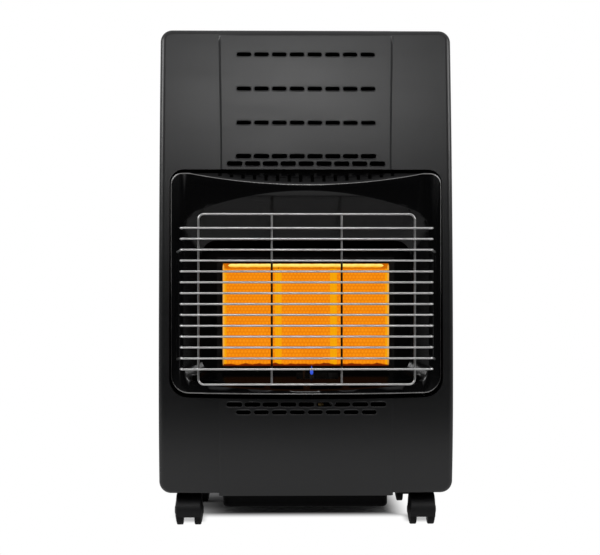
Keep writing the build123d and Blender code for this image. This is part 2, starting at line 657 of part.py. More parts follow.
def plaque_frame():
    """Sheet frame round the three plaques with a lip that stands in front of their faces."""
    half = 1.5 * PLAQUE_PITCH
    z0, z1 = PLAQUE_MID_Z - PLAQUE_H / 2 - 0.3, PLAQUE_MID_Z + PLAQUE_H / 2 + 0.3
    y0 = PLAQUE_FACE_Y - 4
    frame = slab(-half - 1.3, half + 1.3, y0, PLENUM_Y - 2, z0 - 1, z1 + 1)
    frame -= slab(-half - 0.3, half + 0.3, y0 - 1, PLENUM_Y, z0, z1)
    flange = slab(-half - 9, half + 9, PLENUM_Y - 3, PLENUM_Y - 2, z0 - 9, z1 + 9)
    flange -= slab(-half - 0.3, half + 0.3, PLENUM_Y - 9, PLENUM_Y, z0, z1)
    return one(frame + flange)


def burner_housing():
    """Dark box round the burners, open to the front, its floor open for the mixing tubes."""
    x, z0, z1 = 158.0, 214.0, 420.0
    y0, y1 = RIM_BACK_Y, PARTITION_Y
    box = slab(-x, x, y0, y1, z0, z1)
    # front flange that carries the surround
    box += slab(-RIM_HALF_W + 1, RIM_HALF_W - 1, y0, y0 + SHEET, 199, 440)
    box -= slab(-x + SHEET, x - SHEET, y0 - 1, y1 - SHEET, z0 + SHEET, z1 - SHEET)
    box -= slab(-125, 125, y0 + 8, y1 - SHEET, z0 - 1, z0 + 2)
    # ledges for the plaque frame and a rail behind the burners
    ledge_x, ledge_half, ledge_low, ledge_high = 129, 7, 300, 312
    for side in (-1, 1):
        box += slab(side * ledge_x - ledge_half, side * ledge_x + ledge_half, PLENUM_Y - 2, y1 - SHEET,
                    ledge_low, ledge_high)
    box += slab(-110, 110, PLENUM_BACK_Y, y1 - SHEET, ledge_low, ledge_high)
    return one(box)


def lower_reflector():
    """Sloping polished sheet between the surround's shelf and the plaques."""
    points = [(-138.9, 215), (-138.9, 221.8), (-127.6, 226), (-127.6, 225), (-137.9, 221.1), (-137.9, 215)]
    return one(side_prism(make_face(Polyline(*points, close=True)), -148, 148))


def pilot_burner():
    """Pilot tube on a bracket in front of the middle plaque's lower edge."""
    z, sheet_t = PILOT_SHELF_Z, 1.2
    bracket = slab(-10, 42, RIM_BACK_Y - sheet_t, RIM_BACK_Y, z - 9, z + 10)
    bracket += slab(-10, 42, PILOT_Y - 5, RIM_BACK_Y - sheet_t, z, z + sheet_t)
    for x, r in ((PROBE_X, 1.9), (SPARK_X, 2.7)):
        bracket -= rod((x, PILOT_Y, z - 1), (x, PILOT_Y, z + 2), r)
    tube = rod((PILOT_X, PILOT_Y, z - 7), (PILOT_X, PILOT_Y, z + 8), 3.6)
    return one(bracket + tube - rod((PILOT_X, PILOT_Y, z - 8), (PILOT_X, PILOT_Y, z + 9), 2.4))


def thermocouple():
    """Probe beside the pilot flame, with its nut under the bracket."""
    z = PILOT_SHELF_Z
    tip = rod((PROBE_X, PILOT_Y, z - 9), (PROBE_X, PILOT_Y, z + 15), 1.8)
    nut = extrude(Plane.XY.offset(z - 4) * Pos(PROBE_X, PILOT_Y) * RegularPolygon(3.4, 6), 4)
    return one(tip + nut)


def spark_electrode():
    """Ceramic sleeve of the spark electrode."""
    return rod((SPARK_X, PILOT_Y, PILOT_SHELF_Z - 11), (SPARK_X, PILOT_Y, PILOT_SHELF_Z + 6), 2.6)


def electrode_tip():
    """Wire of the spark electrode, bent towards the pilot."""
    z = PILOT_SHELF_Z + 6
    path = [(SPARK_X, PILOT_Y, z), (SPARK_X, PILOT_Y, z + 5), (PILOT_X + 6.5, PILOT_Y, z + 8)]
    return wire_along(path, 2.0, 0.9)


def injectors():
    """Three brass injectors under the mixing tubes."""
    z = TUBE_END_Z
    made = []
    for i in range(3):
        x = (i - 1) * PLAQUE_PITCH
        body = extrude(Plane.XY.offset(z - 26) * Pos(x, TUBE_Y) * RegularPolygon(5.0, 6), 8)
        body += rod((x, TUBE_Y, z - 18), (x, TUBE_Y, z - 6), 3.4)
        body += rod((x, TUBE_Y, z - 36), (x, TUBE_Y, z - 26), 4.0)
        body -= rod((x, TUBE_Y, z - 20), (x, TUBE_Y, z - 5), 0.6)
        made.append(one(body))
    return made


def injector_bracket():
    """Bent strip on the partition that carries the injectors."""
    z = TUBE_END_Z
    strip = slab(-100, 100, TUBE_Y - 10, PARTITION_Y, z - 29, z - 27)
    strip += slab(-100, 100, PARTITION_Y - 1, PARTITION_Y, z - 29, z - 8)
    for i in range(3):
        x = (i - 1) * PLAQUE_PITCH
        strip -= rod((x, TUBE_Y, z - 31), (x, TUBE_Y, z - 25), 4.2)
    return one(strip)


# ---------------------------------------------------------------- gas train
def gas_tap():
    """Cast tap body under the well: plug bore, burner and pilot outlets, inlet boss at the back."""
    x, y, z = KNOB_X, KNOB_Y, TAP_PORT_Z
    body = rod((x, y, TAP_TOP_Z - TAP_H), (x, y, TAP_TOP_Z), 15)
    body += slab(x - 22, x + 22, y - 11, y + 11, z - 9, z + 9)
    body += rod((x, y, z), (x, INLET_Y + 6, z), 8)
    body += rod((x, INLET_Y, z - 15), (x, INLET_Y, z), 8)
    body -= rod((x, y, z - 5), (x, y, TAP_TOP_Z + 1), PLUG_R + 0.05)
    body -= rod((x, INLET_Y, z - 16), (x, INLET_Y, z - 4), 5.0)
    for dx, depth in ((-15, 0), (0, 6), (15, 0)):
        body -= rod((x + dx, y - 12 - depth, z), (x + dx, y - 7 - depth, z), 2.55)
    body -= rod((x + 18, y, z), (x + 23, y, z), 1.55)
    return one(body)


def tap_plug():
    """Rotary plug of the tap with the flatted spindle that carries the knob."""
    x, y, top_z = KNOB_X, KNOB_Y, WELL_FLOOR_Z + 17
    plug = rod((x, y, TAP_PORT_Z - 4.8), (x, y, TAP_TOP_Z), PLUG_R)
    plug += rod((x, y, TAP_TOP_Z), (x, y, top_z), SPINDLE_R)
    plug -= slab(x - 5, x + 5, y + 2, y + 5, WELL_FLOOR_Z + 2, top_z + 1)
    return one(plug)


def control_knob():
    """Round knob with a raised grip bar, bored to slide on the spindle."""
    x, y, z = KNOB_X, KNOB_Y, WELL_FLOOR_Z + 6
    disc_h, grip_top = 10, z + 20
    knob = rod((x, y, z), (x, y, z + disc_h), 21)
    knob = fillet([e for e in knob.edges() if abs(e.center().Z - z - disc_h) < 0.01], 3)
    grip = extrude(Plane.XY.offset(z + 6) * Pos(x, y) * SlotOverall(39, 11, rotation=90), grip_top - z - 6)
    knob += fillet([e for e in grip.edges() if abs(e.center().Z - grip_top) < 0.01], 2.5)
    knob -= rod((x, y, z - 1), (x, y, z + 16), SPINDLE_R + 0.06)
    return one(knob)


def hose_nozzle():
    """Tail under the tap's inlet boss: the gas hose is pushed on it from below and clamped."""
    x, y, z = KNOB_X, INLET_Y, TAP_PORT_Z - 15
    tail_z = z - NOZZLE_HEX - NOZZLE_TAIL
    tail = rod((x, y, tail_z), (x, y, z), NOZZLE_R)
    tail += extrude(Plane.XY.offset(z - NOZZLE_HEX) * Pos(x, y) * RegularPolygon(7.5, 6), NOZZLE_HEX)
    tail += rod((x, y, z), (x, y, z + 10), 4.95)
    return one(tail - rod((x, y, tail_z - 1), (x, y, z + 11), 2.0))


def piezo_igniter():
    """Piezo cartridge clipped under the well with a collar round the button."""
    x, y, z = BUTTON_X, BUTTON_Y, WELL_FLOOR_Z
    body = rod((x, y, z - PIEZO_H), (x, y, z + 1.5), 8.8)
    body += rod((x, y, z), (x, y, z + 2.5), 11)
    return one(body - rod((x, y, z - 16), (x, y, z + 5), 6.3))


def igniter_button():
    """Push button of the igniter."""
    x, y, z = BUTTON_X, BUTTON_Y, WELL_FLOOR_Z
    button = rod((x, y, z - 8), (x, y, z + 10), 6.0)
    return one(fillet([e for e in button.edges() if abs(e.center().Z - z - 10) < 0.01], 1.5))


def burner_gas_pipes():
    """Three pipes from the tap, down beside the cylinder, through the partition, up to the injectors."""
    pipes = []
    for i in range(3):
        x_tap = KNOB_X + (i - 1) * 15
        y_tap = KNOB_Y - 11 - (4 if i == 1 else 0)
        lane_x, lane_y, low_z = 166 + 8 * i, KNOB_Y - 30 - 10 * i, 140 + 8 * i
        x_end = (i - 1) * PLAQUE_PITCH
        pipes.append(wire_along(
            [(x_tap, y_tap, TAP_PORT_Z), (x_tap, lane_y, TAP_PORT_Z), (lane_x, lane_y, TAP_PORT_Z - 40),
             (lane_x, lane_y, low_z), (lane_x, TUBE_Y, low_z), (x_end, TUBE_Y, low_z),
             (x_end, TUBE_Y, TUBE_END_Z - 36)], 5, 2.5))
    return pipes


def pilot_pipe():
    """Thin pipe from the tap's side outlet to the pilot."""
    x, y, z = 190.0, -128.0, 186.0
    path = [(KNOB_X + 22, KNOB_Y, TAP_PORT_Z), (x, KNOB_Y, TAP_PORT_Z), (x, KNOB_Y, z), (x, y, z),
            (PILOT_X, y, z), (PILOT_X, PILOT_Y, z + 3), (PILOT_X, PILOT_Y, PILOT_SHELF_Z - 7)]
    return wire_along(path, 5, 1.5)


def thermocouple_lead():
    """Capillary from the probe to the safety magnet under the tap."""
    x, y, z, lane_y, high_z = 158.0, -136.0, 176.0, 92.0, 630.0
    path = [(PROBE_X, PILOT_Y, PILOT_SHELF_Z - 9), (PROBE_X, PILOT_Y, z), (PROBE_X, y, z), (x, y, z),
            (x, lane_y, z), (x, lane_y, high_z), (KNOB_X, KNOB_Y, high_z),
            (KNOB_X, KNOB_Y, TAP_TOP_Z - TAP_H)]
    return wire_along(path, 4, 1.2)


def ignition_lead():
    """Insulated lead from the piezo cartridge to the electrode."""
    x, z, lane_y, high_z = 184.0, 180.0, 50.0, 618.0
    path = [(SPARK_X, PILOT_Y, PILOT_SHELF_Z - 11), (SPARK_X, PILOT_Y, z), (x, PILOT_Y, z), (x, lane_y, z),
            (x, lane_y, high_z), (BUTTON_X, lane_y, high_z), (BUTTON_X, BUTTON_Y, high_z),
            (BUTTON_X, BUTTON_Y, WELL_FLOOR_Z - PIEZO_H)]
    return wire_along(path, 6, 1.6)


# ---------------------------------------------------------------- casters
def caster_places():
    """Stem axes of the four casters: front left, front right, rear left, rear right."""
    return [(-CASTER_X, CASTER_FRONT_Y), (CASTER_X, CASTER_FRONT_Y),
            (-CASTER_X, CASTER_REAR_Y), (CASTER_X, CASTER_REAR_Y)]


def caster_stems():
    """Fixed stems with their round plates under the base plate."""
    stems = []
    for x, y in caster_places():
        stem = rod((x, y, STEM_LOW_Z), (x, y, BASE_Z + BASE_T + 6), STEM_R)
        stem += rod((x, y, BASE_Z - 2.2), (x, y, BASE_Z), 15)
        stem += extrude(Plane.XY.offset(BASE_Z + BASE_T) * Pos(x, y) * RegularPolygon(8.5, 6), 5)
        stems.append(one(stem))
    return stems


def caster_hood(x, y):
    """Hood: a fender round both treads, a web between the wheels, the stem's socket and the axle's bore."""
    axle = Pos(x, y - CASTER_TRAIL, WHEEL_R) * Rot(0, 90, 0)
    outer = axle * Cylinder(HOOD_R, 2 * HOOD_HALF_W)
    outer = fillet([e for e in outer.edges() if e.geom_type == GeomType.CIRCLE], HOOD_T - 0.2)
    hood = outer - axle * Cylinder(HOOD_R - HOOD_T, 3 * HOOD_HALF_W)
    hood += axle * Cylinder(HOOD_R - 1, 2 * WEB_HALF_W)
    hood += rod((x, y, HOOD_LOW_Z), (x, y, BASE_Z - 3.2), NECK_R)
    for side in (-1, 1):
        x0, x1 = sorted((x + side * (WHEEL_IN - WHEEL_GAP), x + side * 3 * HOOD_HALF_W))
        hood -= rod((x0, y - CASTER_TRAIL, WHEEL_R), (x1, y - CASTER_TRAIL, WHEEL_R), WHEEL_R + WHEEL_GAP)
    hood -= Pos(x, y, HOOD_LOW_Z - 25) * Box(120, 120, 50)
    hood -= rod((x, y, STEM_LOW_Z - 1), (x, y, BASE_Z), STEM_R + 0.05)
    hood -= axle * Cylinder(AXLE_R + 0.02, 3 * HOOD_HALF_W)
    return one(hood)


def caster_axle(x, y):
    """Steel pin pressed through the hood's web."""
    return Pos(x, y - CASTER_TRAIL, WHEEL_R) * Rot(0, 90, 0) * Cylinder(AXLE_R, 2 * AXLE_HALF_L)


def caster_wheel(x, y, side):
    """One wheel of the pair: a rounded tread and a domed outer face, with a blind bore for the axle."""
    plane = Plane(origin=(x, y - CASTER_TRAIL, WHEEL_R), x_dir=(side, 0, 0), z_dir=(0, -side, 0))
    start, end, foot = WHEEL_IN, WHEEL_IN + WHEEL_W, WHEEL_R - TREAD_EDGE_R
    crown = end + WHEEL_DOME
    dome_r = (foot ** 2 + WHEEL_DOME ** 2) / (2 * WHEEL_DOME)
    halfway = crown - dome_r + (dome_r ** 2 - (foot / 2) ** 2) ** 0.5
    turn = TREAD_EDGE_R * (1 - 0.5 ** 0.5)
    bore_r, bore_end = AXLE_R + 0.05, AXLE_HALF_L + 0.3
    outline = Polyline((crown, 0), (bore_end, 0), (bore_end, bore_r), (start, bore_r), (start, foot))
    outline += ThreePointArc((start, foot), (start + turn, WHEEL_R - turn), (start + TREAD_EDGE_R, WHEEL_R))
    outline += Line((start + TREAD_EDGE_R, WHEEL_R), (end - TREAD_EDGE_R, WHEEL_R))
    outline += ThreePointArc((end - TREAD_EDGE_R, WHEEL_R), (end - turn, WHEEL_R - turn), (end, foot))
    outline += ThreePointArc((end, foot), (halfway, foot / 2), (crown, 0))
    return one(revolve(plane * make_face(outline), Axis(plane.origin, (1, 0, 0)), 360))


# ---------------------------------------------------------------- fasteners
def screw(seat, direction, shank):
    """Pan-head screw: its head sits at the point seat and its shank runs along direction."""
    head_r, head_h, shank_r = 4.0, 2.0, 1.9
    start, axis = Vector(*seat), Vector(*direction)
    head = rod(seat, tuple(start - axis * head_h), head_r)
    top = [e for e in head.edges() if (start - e.center()).dot(axis) > head_h - 0.01]
    return one(fillet(top, 0.8) + rod(seat, tuple(start + axis * shank), shank_r))


def rear_screws():
    """Screws of the upper rear panel, against the side panels' rear flanges."""
    seat_y = FRAME_BACK_Y + SHEET
    return [screw((x, seat_y, z), (0, -1, 0), SHEET) for x, z in rear_screw_places()]


def main():
    os.makedirs("parts", exist_ok=True)
    save("front_panel", front_panel())
    save("side_panel_left", side_panel(-1))
    save("side_panel_right", side_panel(1))
    save("handle_cups", handle_cup(-1), handle_cup(1))
    save("top_panel", top_panel())
    save("control_panel", control_panel())
    save("base_plate", base_plate())
    save("partition_panel", partition_panel())
    save("top_deflector", top_deflector())
    save("rear_panel_upper", rear_panel_upper())
    save("rear_cover", rear_cover())
    save("rear_cover_pins", *rear_cover_pins())
    save("rear_cover_clips", *rear_cover_clips())
    save("burner_surround", burner_surround())
    save("guard_bars", *guard_bars())
    save("guard_loop", guard_loop())
    save("guard_uprights", *guard_uprights())
    save("guard_hooks", *guard_hooks())
    for i, place in enumerate(("left", "centre", "right")):
        save(f"plaque_{place}", plaque(i))
        save(f"burner_{place}", burner(i))
    save("plaque_frame", plaque_frame())
    save("burner_housing", burner_housing())
    save("lower_reflector", lower_reflector())
    save("pilot_burner", pilot_burner())
    save("thermocouple", thermocouple())
    save("spark_electrode", spark_electrode(), electrode_tip())
    save("injectors", *injectors())
    save("injector_bracket", injector_bracket())
    save("gas_tap", gas_tap())
    save("tap_plug", tap_plug())
    save("control_knob", control_knob())
    save("hose_nozzle", hose_nozzle())
    save("piezo_igniter", piezo_igniter())
    save("igniter_button", igniter_button())
    save("burner_gas_pipes", *burner_gas_pipes())
    save("pilot_pipe", pilot_pipe())
    save("thermocouple_lead", thermocouple_lead())
    save("ignition_lead", ignition_lead())
    save("rear_screws", *rear_screws())
    save("caster_stems", *caster_stems())
    for name, (x, y) in zip(CASTER_NAMES, caster_places()):
        save(f"caster_hood_{name}", caster_hood(x, y))
        save(f"caster_axle_{name}", caster_axle(x, y))
        save(f"caster_wheels_{name}_left", caster_wheel(x, y, -1))
        save(f"caster_wheels_{name}_right", caster_wheel(x, y, 1))


main()
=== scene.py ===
import json
import math

import bmesh
import bpy
import numpy as np
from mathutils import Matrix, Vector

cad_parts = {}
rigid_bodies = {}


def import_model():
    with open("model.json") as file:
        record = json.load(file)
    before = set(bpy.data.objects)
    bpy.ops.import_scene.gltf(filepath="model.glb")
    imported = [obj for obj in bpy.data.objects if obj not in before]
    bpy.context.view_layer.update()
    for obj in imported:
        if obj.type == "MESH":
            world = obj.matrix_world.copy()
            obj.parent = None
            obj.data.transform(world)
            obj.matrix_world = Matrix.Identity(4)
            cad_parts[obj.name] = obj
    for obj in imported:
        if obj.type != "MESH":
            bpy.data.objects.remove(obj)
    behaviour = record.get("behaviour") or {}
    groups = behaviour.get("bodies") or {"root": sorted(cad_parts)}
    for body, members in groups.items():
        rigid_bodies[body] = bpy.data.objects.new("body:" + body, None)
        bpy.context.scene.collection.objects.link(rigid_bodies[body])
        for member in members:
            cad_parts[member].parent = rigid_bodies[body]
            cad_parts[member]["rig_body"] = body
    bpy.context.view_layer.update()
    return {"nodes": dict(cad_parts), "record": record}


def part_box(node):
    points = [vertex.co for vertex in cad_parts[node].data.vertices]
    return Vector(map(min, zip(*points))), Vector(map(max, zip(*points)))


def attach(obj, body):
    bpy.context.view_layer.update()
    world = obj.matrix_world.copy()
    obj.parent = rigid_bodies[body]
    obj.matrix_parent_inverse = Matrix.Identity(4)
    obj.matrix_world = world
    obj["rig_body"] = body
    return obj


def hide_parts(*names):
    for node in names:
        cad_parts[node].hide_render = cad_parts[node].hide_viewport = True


# Gas cabinet heater, dressed. Metres, +Z up, the burner faces -Y.
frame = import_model()
nodes = frame["nodes"]

MM = 0.001

# ---------------------------------------------------------------- places taken from the heater's own form
BELLY_Y, BELLY_Z = -164 * MM, 198 * MM     # where the front sheet stands out most
UPPER_R, LOWER_R = 3270 * MM, 700 * MM     # its radii above and below that line
FIELD_RAISE = 3.5 * MM                     # the centre field stands this far in front of the sheet
CREASE_X, CREASE_TOP_Z = 150 * MM, 700 * MM
VENT_PITCH = 25.5 * MM
# rows of vents: height, number of slots, slot length, slot height
VENT_ROWS = [(680.4, 8, 20.0, 4.8), (630.1, 8, 20.0, 4.8), (580.6, 8, 20.0, 4.8), (532.2, 8, 21.5, 5.6),
             (521.4, 9, 21.5, 6.0), (178.6, 9, 21.5, 5.6), (167.4, 8, 20.0, 5.0)]
VENT_DRAWN_IN = 0.35 * MM                  # the punched edge is drawn in and leaves each vent this much wider

PLAQUE_LOW, PLAQUE_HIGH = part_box("plaque_centre")
PLAQUE_PITCH = 79.5 * MM
PLAQUE_EDGE_X = 1.5 * PLAQUE_PITCH
PLAQUE_MARGIN = 5.0 * MM                   # smooth border of each plaque round its holes
HOLE_PITCH = 1.7 * MM
QUILT_PITCH = 5.1 * MM                     # coarser pattern pressed into the plaques
GLOW_THROWN = 0.07                         # share of the glow that lights the sheets round it
FACE_Y = PLAQUE_LOW[1]

RIM_LOW, RIM_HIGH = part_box("burner_surround")
RIM_TOP_Z = 506.5 * MM
RIM_BOW_R = 590 * MM                       # plan radius of the surround's lip
RIM_TOP_R, RIM_LOW_R = 15 * MM, 25 * MM    # its corners, seen from the front
BROW_Z, BROW_SLOPE = 489 * MM, math.tan(math.radians(36))

WIRE_R = 1.5 * MM
BAR_COUNT = 14
BAR_TOP_Z, BAR_LOW_Z = 427.9 * MM, 230.4 * MM
LOOP_HALF_W = 151.6 * MM
UPRIGHT_X = 49.0 * MM
PILOT = (8.0 * MM, -147.5 * MM, 219.5 * MM)
FERRULE = (21.5 * MM, -136 * MM, 176 * MM)
BOOT = (38 * MM, -147.5 * MM, 180 * MM)
KNOB = (148 * MM, 112 * MM)
BUTTON = (90 * MM, 112 * MM)
WELL_FLOOR_Z = 685 * MM
WHEEL_R = 21.5 * MM
CASTER_X = 169 * MM


# ---------------------------------------------------------------- mesh helpers
def mesh_object(name, points, faces, body, material, smooth=True):
    """A mesh from arrays of points and quads, riding on a body."""
    mesh = bpy.data.meshes.new(name)
    mesh.from_pydata(points.reshape(-1, 3).tolist(), [], faces.reshape(-1, faces.shape[-1]).tolist())
    mesh.validate()
    mesh.polygons.foreach_set("use_smooth", np.full(len(mesh.polygons), smooth))
    mesh.update()
    piece = bpy.data.objects.new(name, mesh)
    bpy.context.scene.collection.objects.link(piece)
    mesh.materials.append(material)
    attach(piece, body)
    return piece


def grid_faces(count, nu, nv, closed_u, closed_v):
    """Quads of count grids of nu x nv points, each grid open or closed in either direction."""
    u = np.arange(nu if closed_u else nu - 1)
    v = np.arange(nv if closed_v else nv - 1)
    uu, vv = np.meshgrid(u, v, indexing="ij")
    u2, v2 = (uu + 1) % nu, (vv + 1) % nv
    quads = np.stack([uu * nv + vv, uu * nv + v2, u2 * nv + v2, u2 * nv + vv], axis=-1).reshape(-1, 4)
    return (quads[None] + (np.arange(count) * nu * nv)[:, None, None]).reshape(-1, 4)


def grids(name, points, body, material, closed_u=False, closed_v=False, flip=False):
    """One piece from an array points[n, u, v] of n surfaces."""
    count, nu, nv = points.shape[:3]
    faces = grid_faces(count, nu, nv, closed_u, closed_v)
    if flip:
        faces = faces[:, ::-1]
    return mesh_object(name, points, faces, body, material)


def turned(name, profile, centre, axis, body, material, around=48):
    """A turned form: the profile's (radius, height) pairs carried round an axis through centre."""
    radius, height = np.array(profile, float).T
    angle = np.linspace(0, 2 * math.pi, around, endpoint=False)
    ring = np.stack([np.cos(angle), np.sin(angle)], axis=-1)
    flat = radius[None, :, None] * ring[:, None, :]
    up = np.broadcast_to(height[None, :, None], (around, len(radius), 1))
    local = np.concatenate([flat, up], axis=-1)
    order = {"z": (0, 1, 2), "x": (2, 0, 1), "-x": (2, 1, 0), "-y": (0, 2, 1)}[axis]
    local = local[..., order]
    if axis in ("-x", "-y"):
        local[..., 0 if axis == "-x" else 1] *= -1
    points = local + np.array(centre)
    return grids(name, points[None], body, material, closed_u=True)


def front_depth(z, raised=0.0):
    """Depth of the front sheet at height z: one arc above the belly line and a tighter one below it."""
    radius = np.where(z > BELLY_Z, UPPER_R, LOWER_R) + raised
    return BELLY_Y - raised + radius - np.sqrt(radius ** 2 - (z - BELLY_Z) ** 2)


def vents():
    """Every front vent as x, z, length and height."""
    return [((i - (count - 1) / 2) * VENT_PITCH, z * MM, length * MM, height * MM)
            for z, count, length, height in VENT_ROWS for i in range(count)]


def read_mesh(mesh):
    """Points, the vertex and the face of every corner, and the normals of faces and corners, as arrays."""
    corners, faces = len(mesh.loops), len(mesh.polygons)
    points, owner = np.empty(len(mesh.vertices) * 3), np.empty(corners, int)
    normals, flat, sides = np.empty(corners * 3), np.empty(faces * 3), np.empty(faces, int)
    mesh.vertices.foreach_get("co", points)
    mesh.loops.foreach_get("vertex_index", owner)
    mesh.corner_normals.foreach_get("vector", normals)
    mesh.polygons.foreach_get("normal", flat)
    mesh.polygons.foreach_get("loop_total", sides)
    face_of = np.repeat(np.arange(faces), sides)
    return points.reshape(-1, 3), owner, face_of, flat.reshape(-1, 3), normals.reshape(-1, 3)


def flats_kept(mesh, sharp_deg):
    """Corner normals with which a wide flat face stays flat and the bends beside it start from it."""
    points, owner, face_of, flat, normals = read_mesh(mesh)
    area = np.empty(len(flat))
    mesh.polygons.foreach_get("area", area)
    first = np.searchsorted(face_of, np.arange(len(flat)))
    level = (flat * points[owner[first]]).sum(axis=1)
    _, plane = np.unique(np.column_stack([np.round(flat * 100), np.round(level / (0.2 * MM))]), axis=0,
                         return_inverse=True)
    plane = plane.ravel()
    low = np.full((plane.max() + 1, 3), np.inf)
    high = -low
    np.minimum.at(low, plane[face_of], points[owner])
    np.maximum.at(high, plane[face_of], points[owner])
    total = np.bincount(plane, weights=area)
    width = (total / np.linalg.norm(high - low, axis=1))[plane]
    wide = width > 30 * MM
    rank = np.where(wide, total[plane], 0.0)[face_of]
    order = np.argsort(rank, kind="stable")
    ruler = np.zeros(len(points), int)
    ruler[owner[order]] = face_of[order]
    ruler = ruler[owner]
    beside = (flat[face_of] * flat[ruler]).sum(axis=1) > math.cos(math.radians(sharp_deg))
    normals = np.where((wide[ruler] & beside)[:, None], flat[ruler], normals)
    return np.where(wide[face_of][:, None], flat[face_of], normals)


def smoothed(name, sharp_deg=32.0):
    """A copy of a CAD node with its corners merged and its curved faces shaded smooth."""
    source = nodes[name]
    mesh = source.data.copy()
    work = bmesh.new()
    work.from_mesh(mesh)
    bmesh.ops.remove_doubles(work, verts=work.verts, dist=2e-6)
    work.to_mesh(mesh)
    work.free()
    mesh.polygons.foreach_set("use_smooth", np.ones(len(mesh.polygons), bool))
    mesh.set_sharp_from_angle(angle=math.radians(sharp_deg))
    piece = bpy.data.objects.new(name + "_smooth", mesh)
    bpy.context.scene.collection.objects.link(piece)
    if name == "front_panel":
        draw_in_vents(mesh)
        mesh.normals_split_custom_set(normals_from_arcs(mesh).tolist())
    elif name == "burner_surround":
        mesh.normals_split_custom_set(flats_kept(mesh, sharp_deg).tolist())
    else:
        piece.modifiers.new("weighted", "WEIGHTED_NORMAL").keep_sharp = True
    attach(piece, source["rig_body"])
    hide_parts(name)
    return piece


def draw_in_vents(mesh):
    """Widen every vent: the points of its edge move outwards from its middle line."""
    points = np.empty(len(mesh.vertices) * 3)
    mesh.vertices.foreach_get("co", points)
    points = points.reshape(-1, 3)
    for x, z, length, height in vents():
        straight = (length - height) / 2
        along = np.clip(points[:, 0] - x, -straight, straight)
        away = np.stack([points[:, 0] - x - along, points[:, 2] - z], axis=-1)
        reach = np.linalg.norm(away, axis=1)
        edge = np.abs(reach - height / 2) < 0.05 * MM
        points[edge, 0] += away[edge, 0] / reach[edge] * VENT_DRAWN_IN
        points[edge, 2] += away[edge, 1] / reach[edge] * VENT_DRAWN_IN
    mesh.vertices.foreach_set("co", points.ravel())
    mesh.update()


def normals_from_arcs(mesh):
    """Corner normals of the front panel: its large faces follow the sheet's two arcs, its creases are soft."""
    points, owner, face_of, flat, normals = read_mesh(mesh)
    z = points[owner, 2]
    sine = (z - BELLY_Z) / np.where(z > BELLY_Z, UPPER_R, LOWER_R)
    arc = np.stack([0 * sine, -np.sqrt(1 - sine ** 2), sine], axis=-1)
    facing = (flat[face_of] * arc).sum(axis=1)
    normals = np.where((facing > math.cos(math.radians(4)))[:, None], arc, normals)
    crease = (facing > 0.5) & (facing < 0.98) & (np.abs(points[owner, 0]) < CREASE_X) & (z < CREASE_TOP_Z)
    soft = arc * 0.8 + flat[face_of] * 0.2
    soft /= np.linalg.norm(soft, axis=1, keepdims=True)
    return np.where(crease[:, None], soft, normals)


# ---------------------------------------------------------------- shader helpers
class Tree:
    """A small writer for shader trees."""

    def __init__(self, tree):
        self.tree = tree

    def node(self, kind, label=None, **values):
        made = self.tree.nodes.new(kind)
        if label:
            made.label = label
        for key, value in values.items():
            setattr(made, key, value)
        return made

    def link(self, source, target):
        self.tree.links.new(source, target)

    def feed(self, target, value):
        """Join an output to an input, or set the input to a plain value."""
        if isinstance(value, bpy.types.NodeSocket):
            self.link(value, target)
        else:
            target.default_value = value

    def math(self, operation, a, b=0.0, clamp=False):
        step = self.node("ShaderNodeMath", operation=operation, use_clamp=clamp)
        self.feed(step.inputs[0], a)
        self.feed(step.inputs[1], b)
        return step.outputs[0]

    def smooth_step(self, value, low, high):
        step = self.node("ShaderNodeMapRange", interpolation_type="SMOOTHSTEP")
        self.feed(step.inputs["Value"], value)
        self.feed(step.inputs["From Min"], low)
        self.feed(step.inputs["From Max"], high)
        return step.outputs["Result"]

    def mix(self, factor, a, b):
        step = self.node("ShaderNodeMix", data_type="RGBA")
        self.feed(step.inputs["Factor"], factor)
        self.feed(step.inputs[6], a)
        self.feed(step.inputs[7], b)
        return step.outputs[2]

    def noise(self, vector, scale, detail=2.0, roughness=0.5):
        step = self.node("ShaderNodeTexNoise")
        self.feed(step.inputs["Vector"], vector)
        self.feed(step.inputs["Scale"], scale)
        step.inputs["Detail"].default_value = detail
        step.inputs["Roughness"].default_value = roughness
        return step.outputs["Fac"]

    def stretched(self, vector, scale):
        step = self.node("ShaderNodeMapping")
        self.link(vector, step.inputs["Vector"])
        step.inputs["Scale"].default_value = scale
        return step.outputs["Vector"]

    def split(self, vector):
        step = self.node("ShaderNodeSeparateXYZ")
        self.link(vector, step.inputs[0])
        return step.outputs

    def group(self, group, **values):
        step = self.node("ShaderNodeGroup", node_tree=group)
        for key, value in values.items():
            self.feed(step.inputs[key.replace("_", " ")], value)
        return step.outputs


def new_group(name, inputs, outputs):
    """An empty node group with float inputs (a Vector first) and the named outputs."""
    group = bpy.data.node_groups.new(name, "ShaderNodeTree")
    group.interface.new_socket("Vector", in_out="INPUT", socket_type="NodeSocketVector")
    for key in inputs:
        group.interface.new_socket(key, in_out="INPUT", socket_type="NodeSocketFloat")
    for key in outputs:
        group.interface.new_socket(key, in_out="OUTPUT", socket_type="NodeSocketFloat")
    tree = Tree(group)
    return group, tree, tree.node("NodeGroupInput"), tree.node("NodeGroupOutput")


def powder_grain_group():
    """Orange-peel of a powder coat: two sizes of soft noise as Height, and fine flecks as Flecks."""
    group, tree, given, out = new_group("powder_grain", ["Grain Size"], ["Height", "Flecks"])
    rate = tree.math("DIVIDE", 1.0, given.outputs["Grain Size"])
    coarse = tree.noise(given.outputs["Vector"], rate, detail=1.0)
    fine = tree.noise(given.outputs["Vector"], tree.math("MULTIPLY", rate, 3.1), detail=1.0)
    height = tree.math("ADD", tree.math("MULTIPLY", coarse, 0.65), tree.math("MULTIPLY", fine, 0.35))
    tree.link(height, out.inputs["Height"])
    tree.link(tree.smooth_step(fine, 0.54, 0.74), out.inputs["Flecks"])
    return group


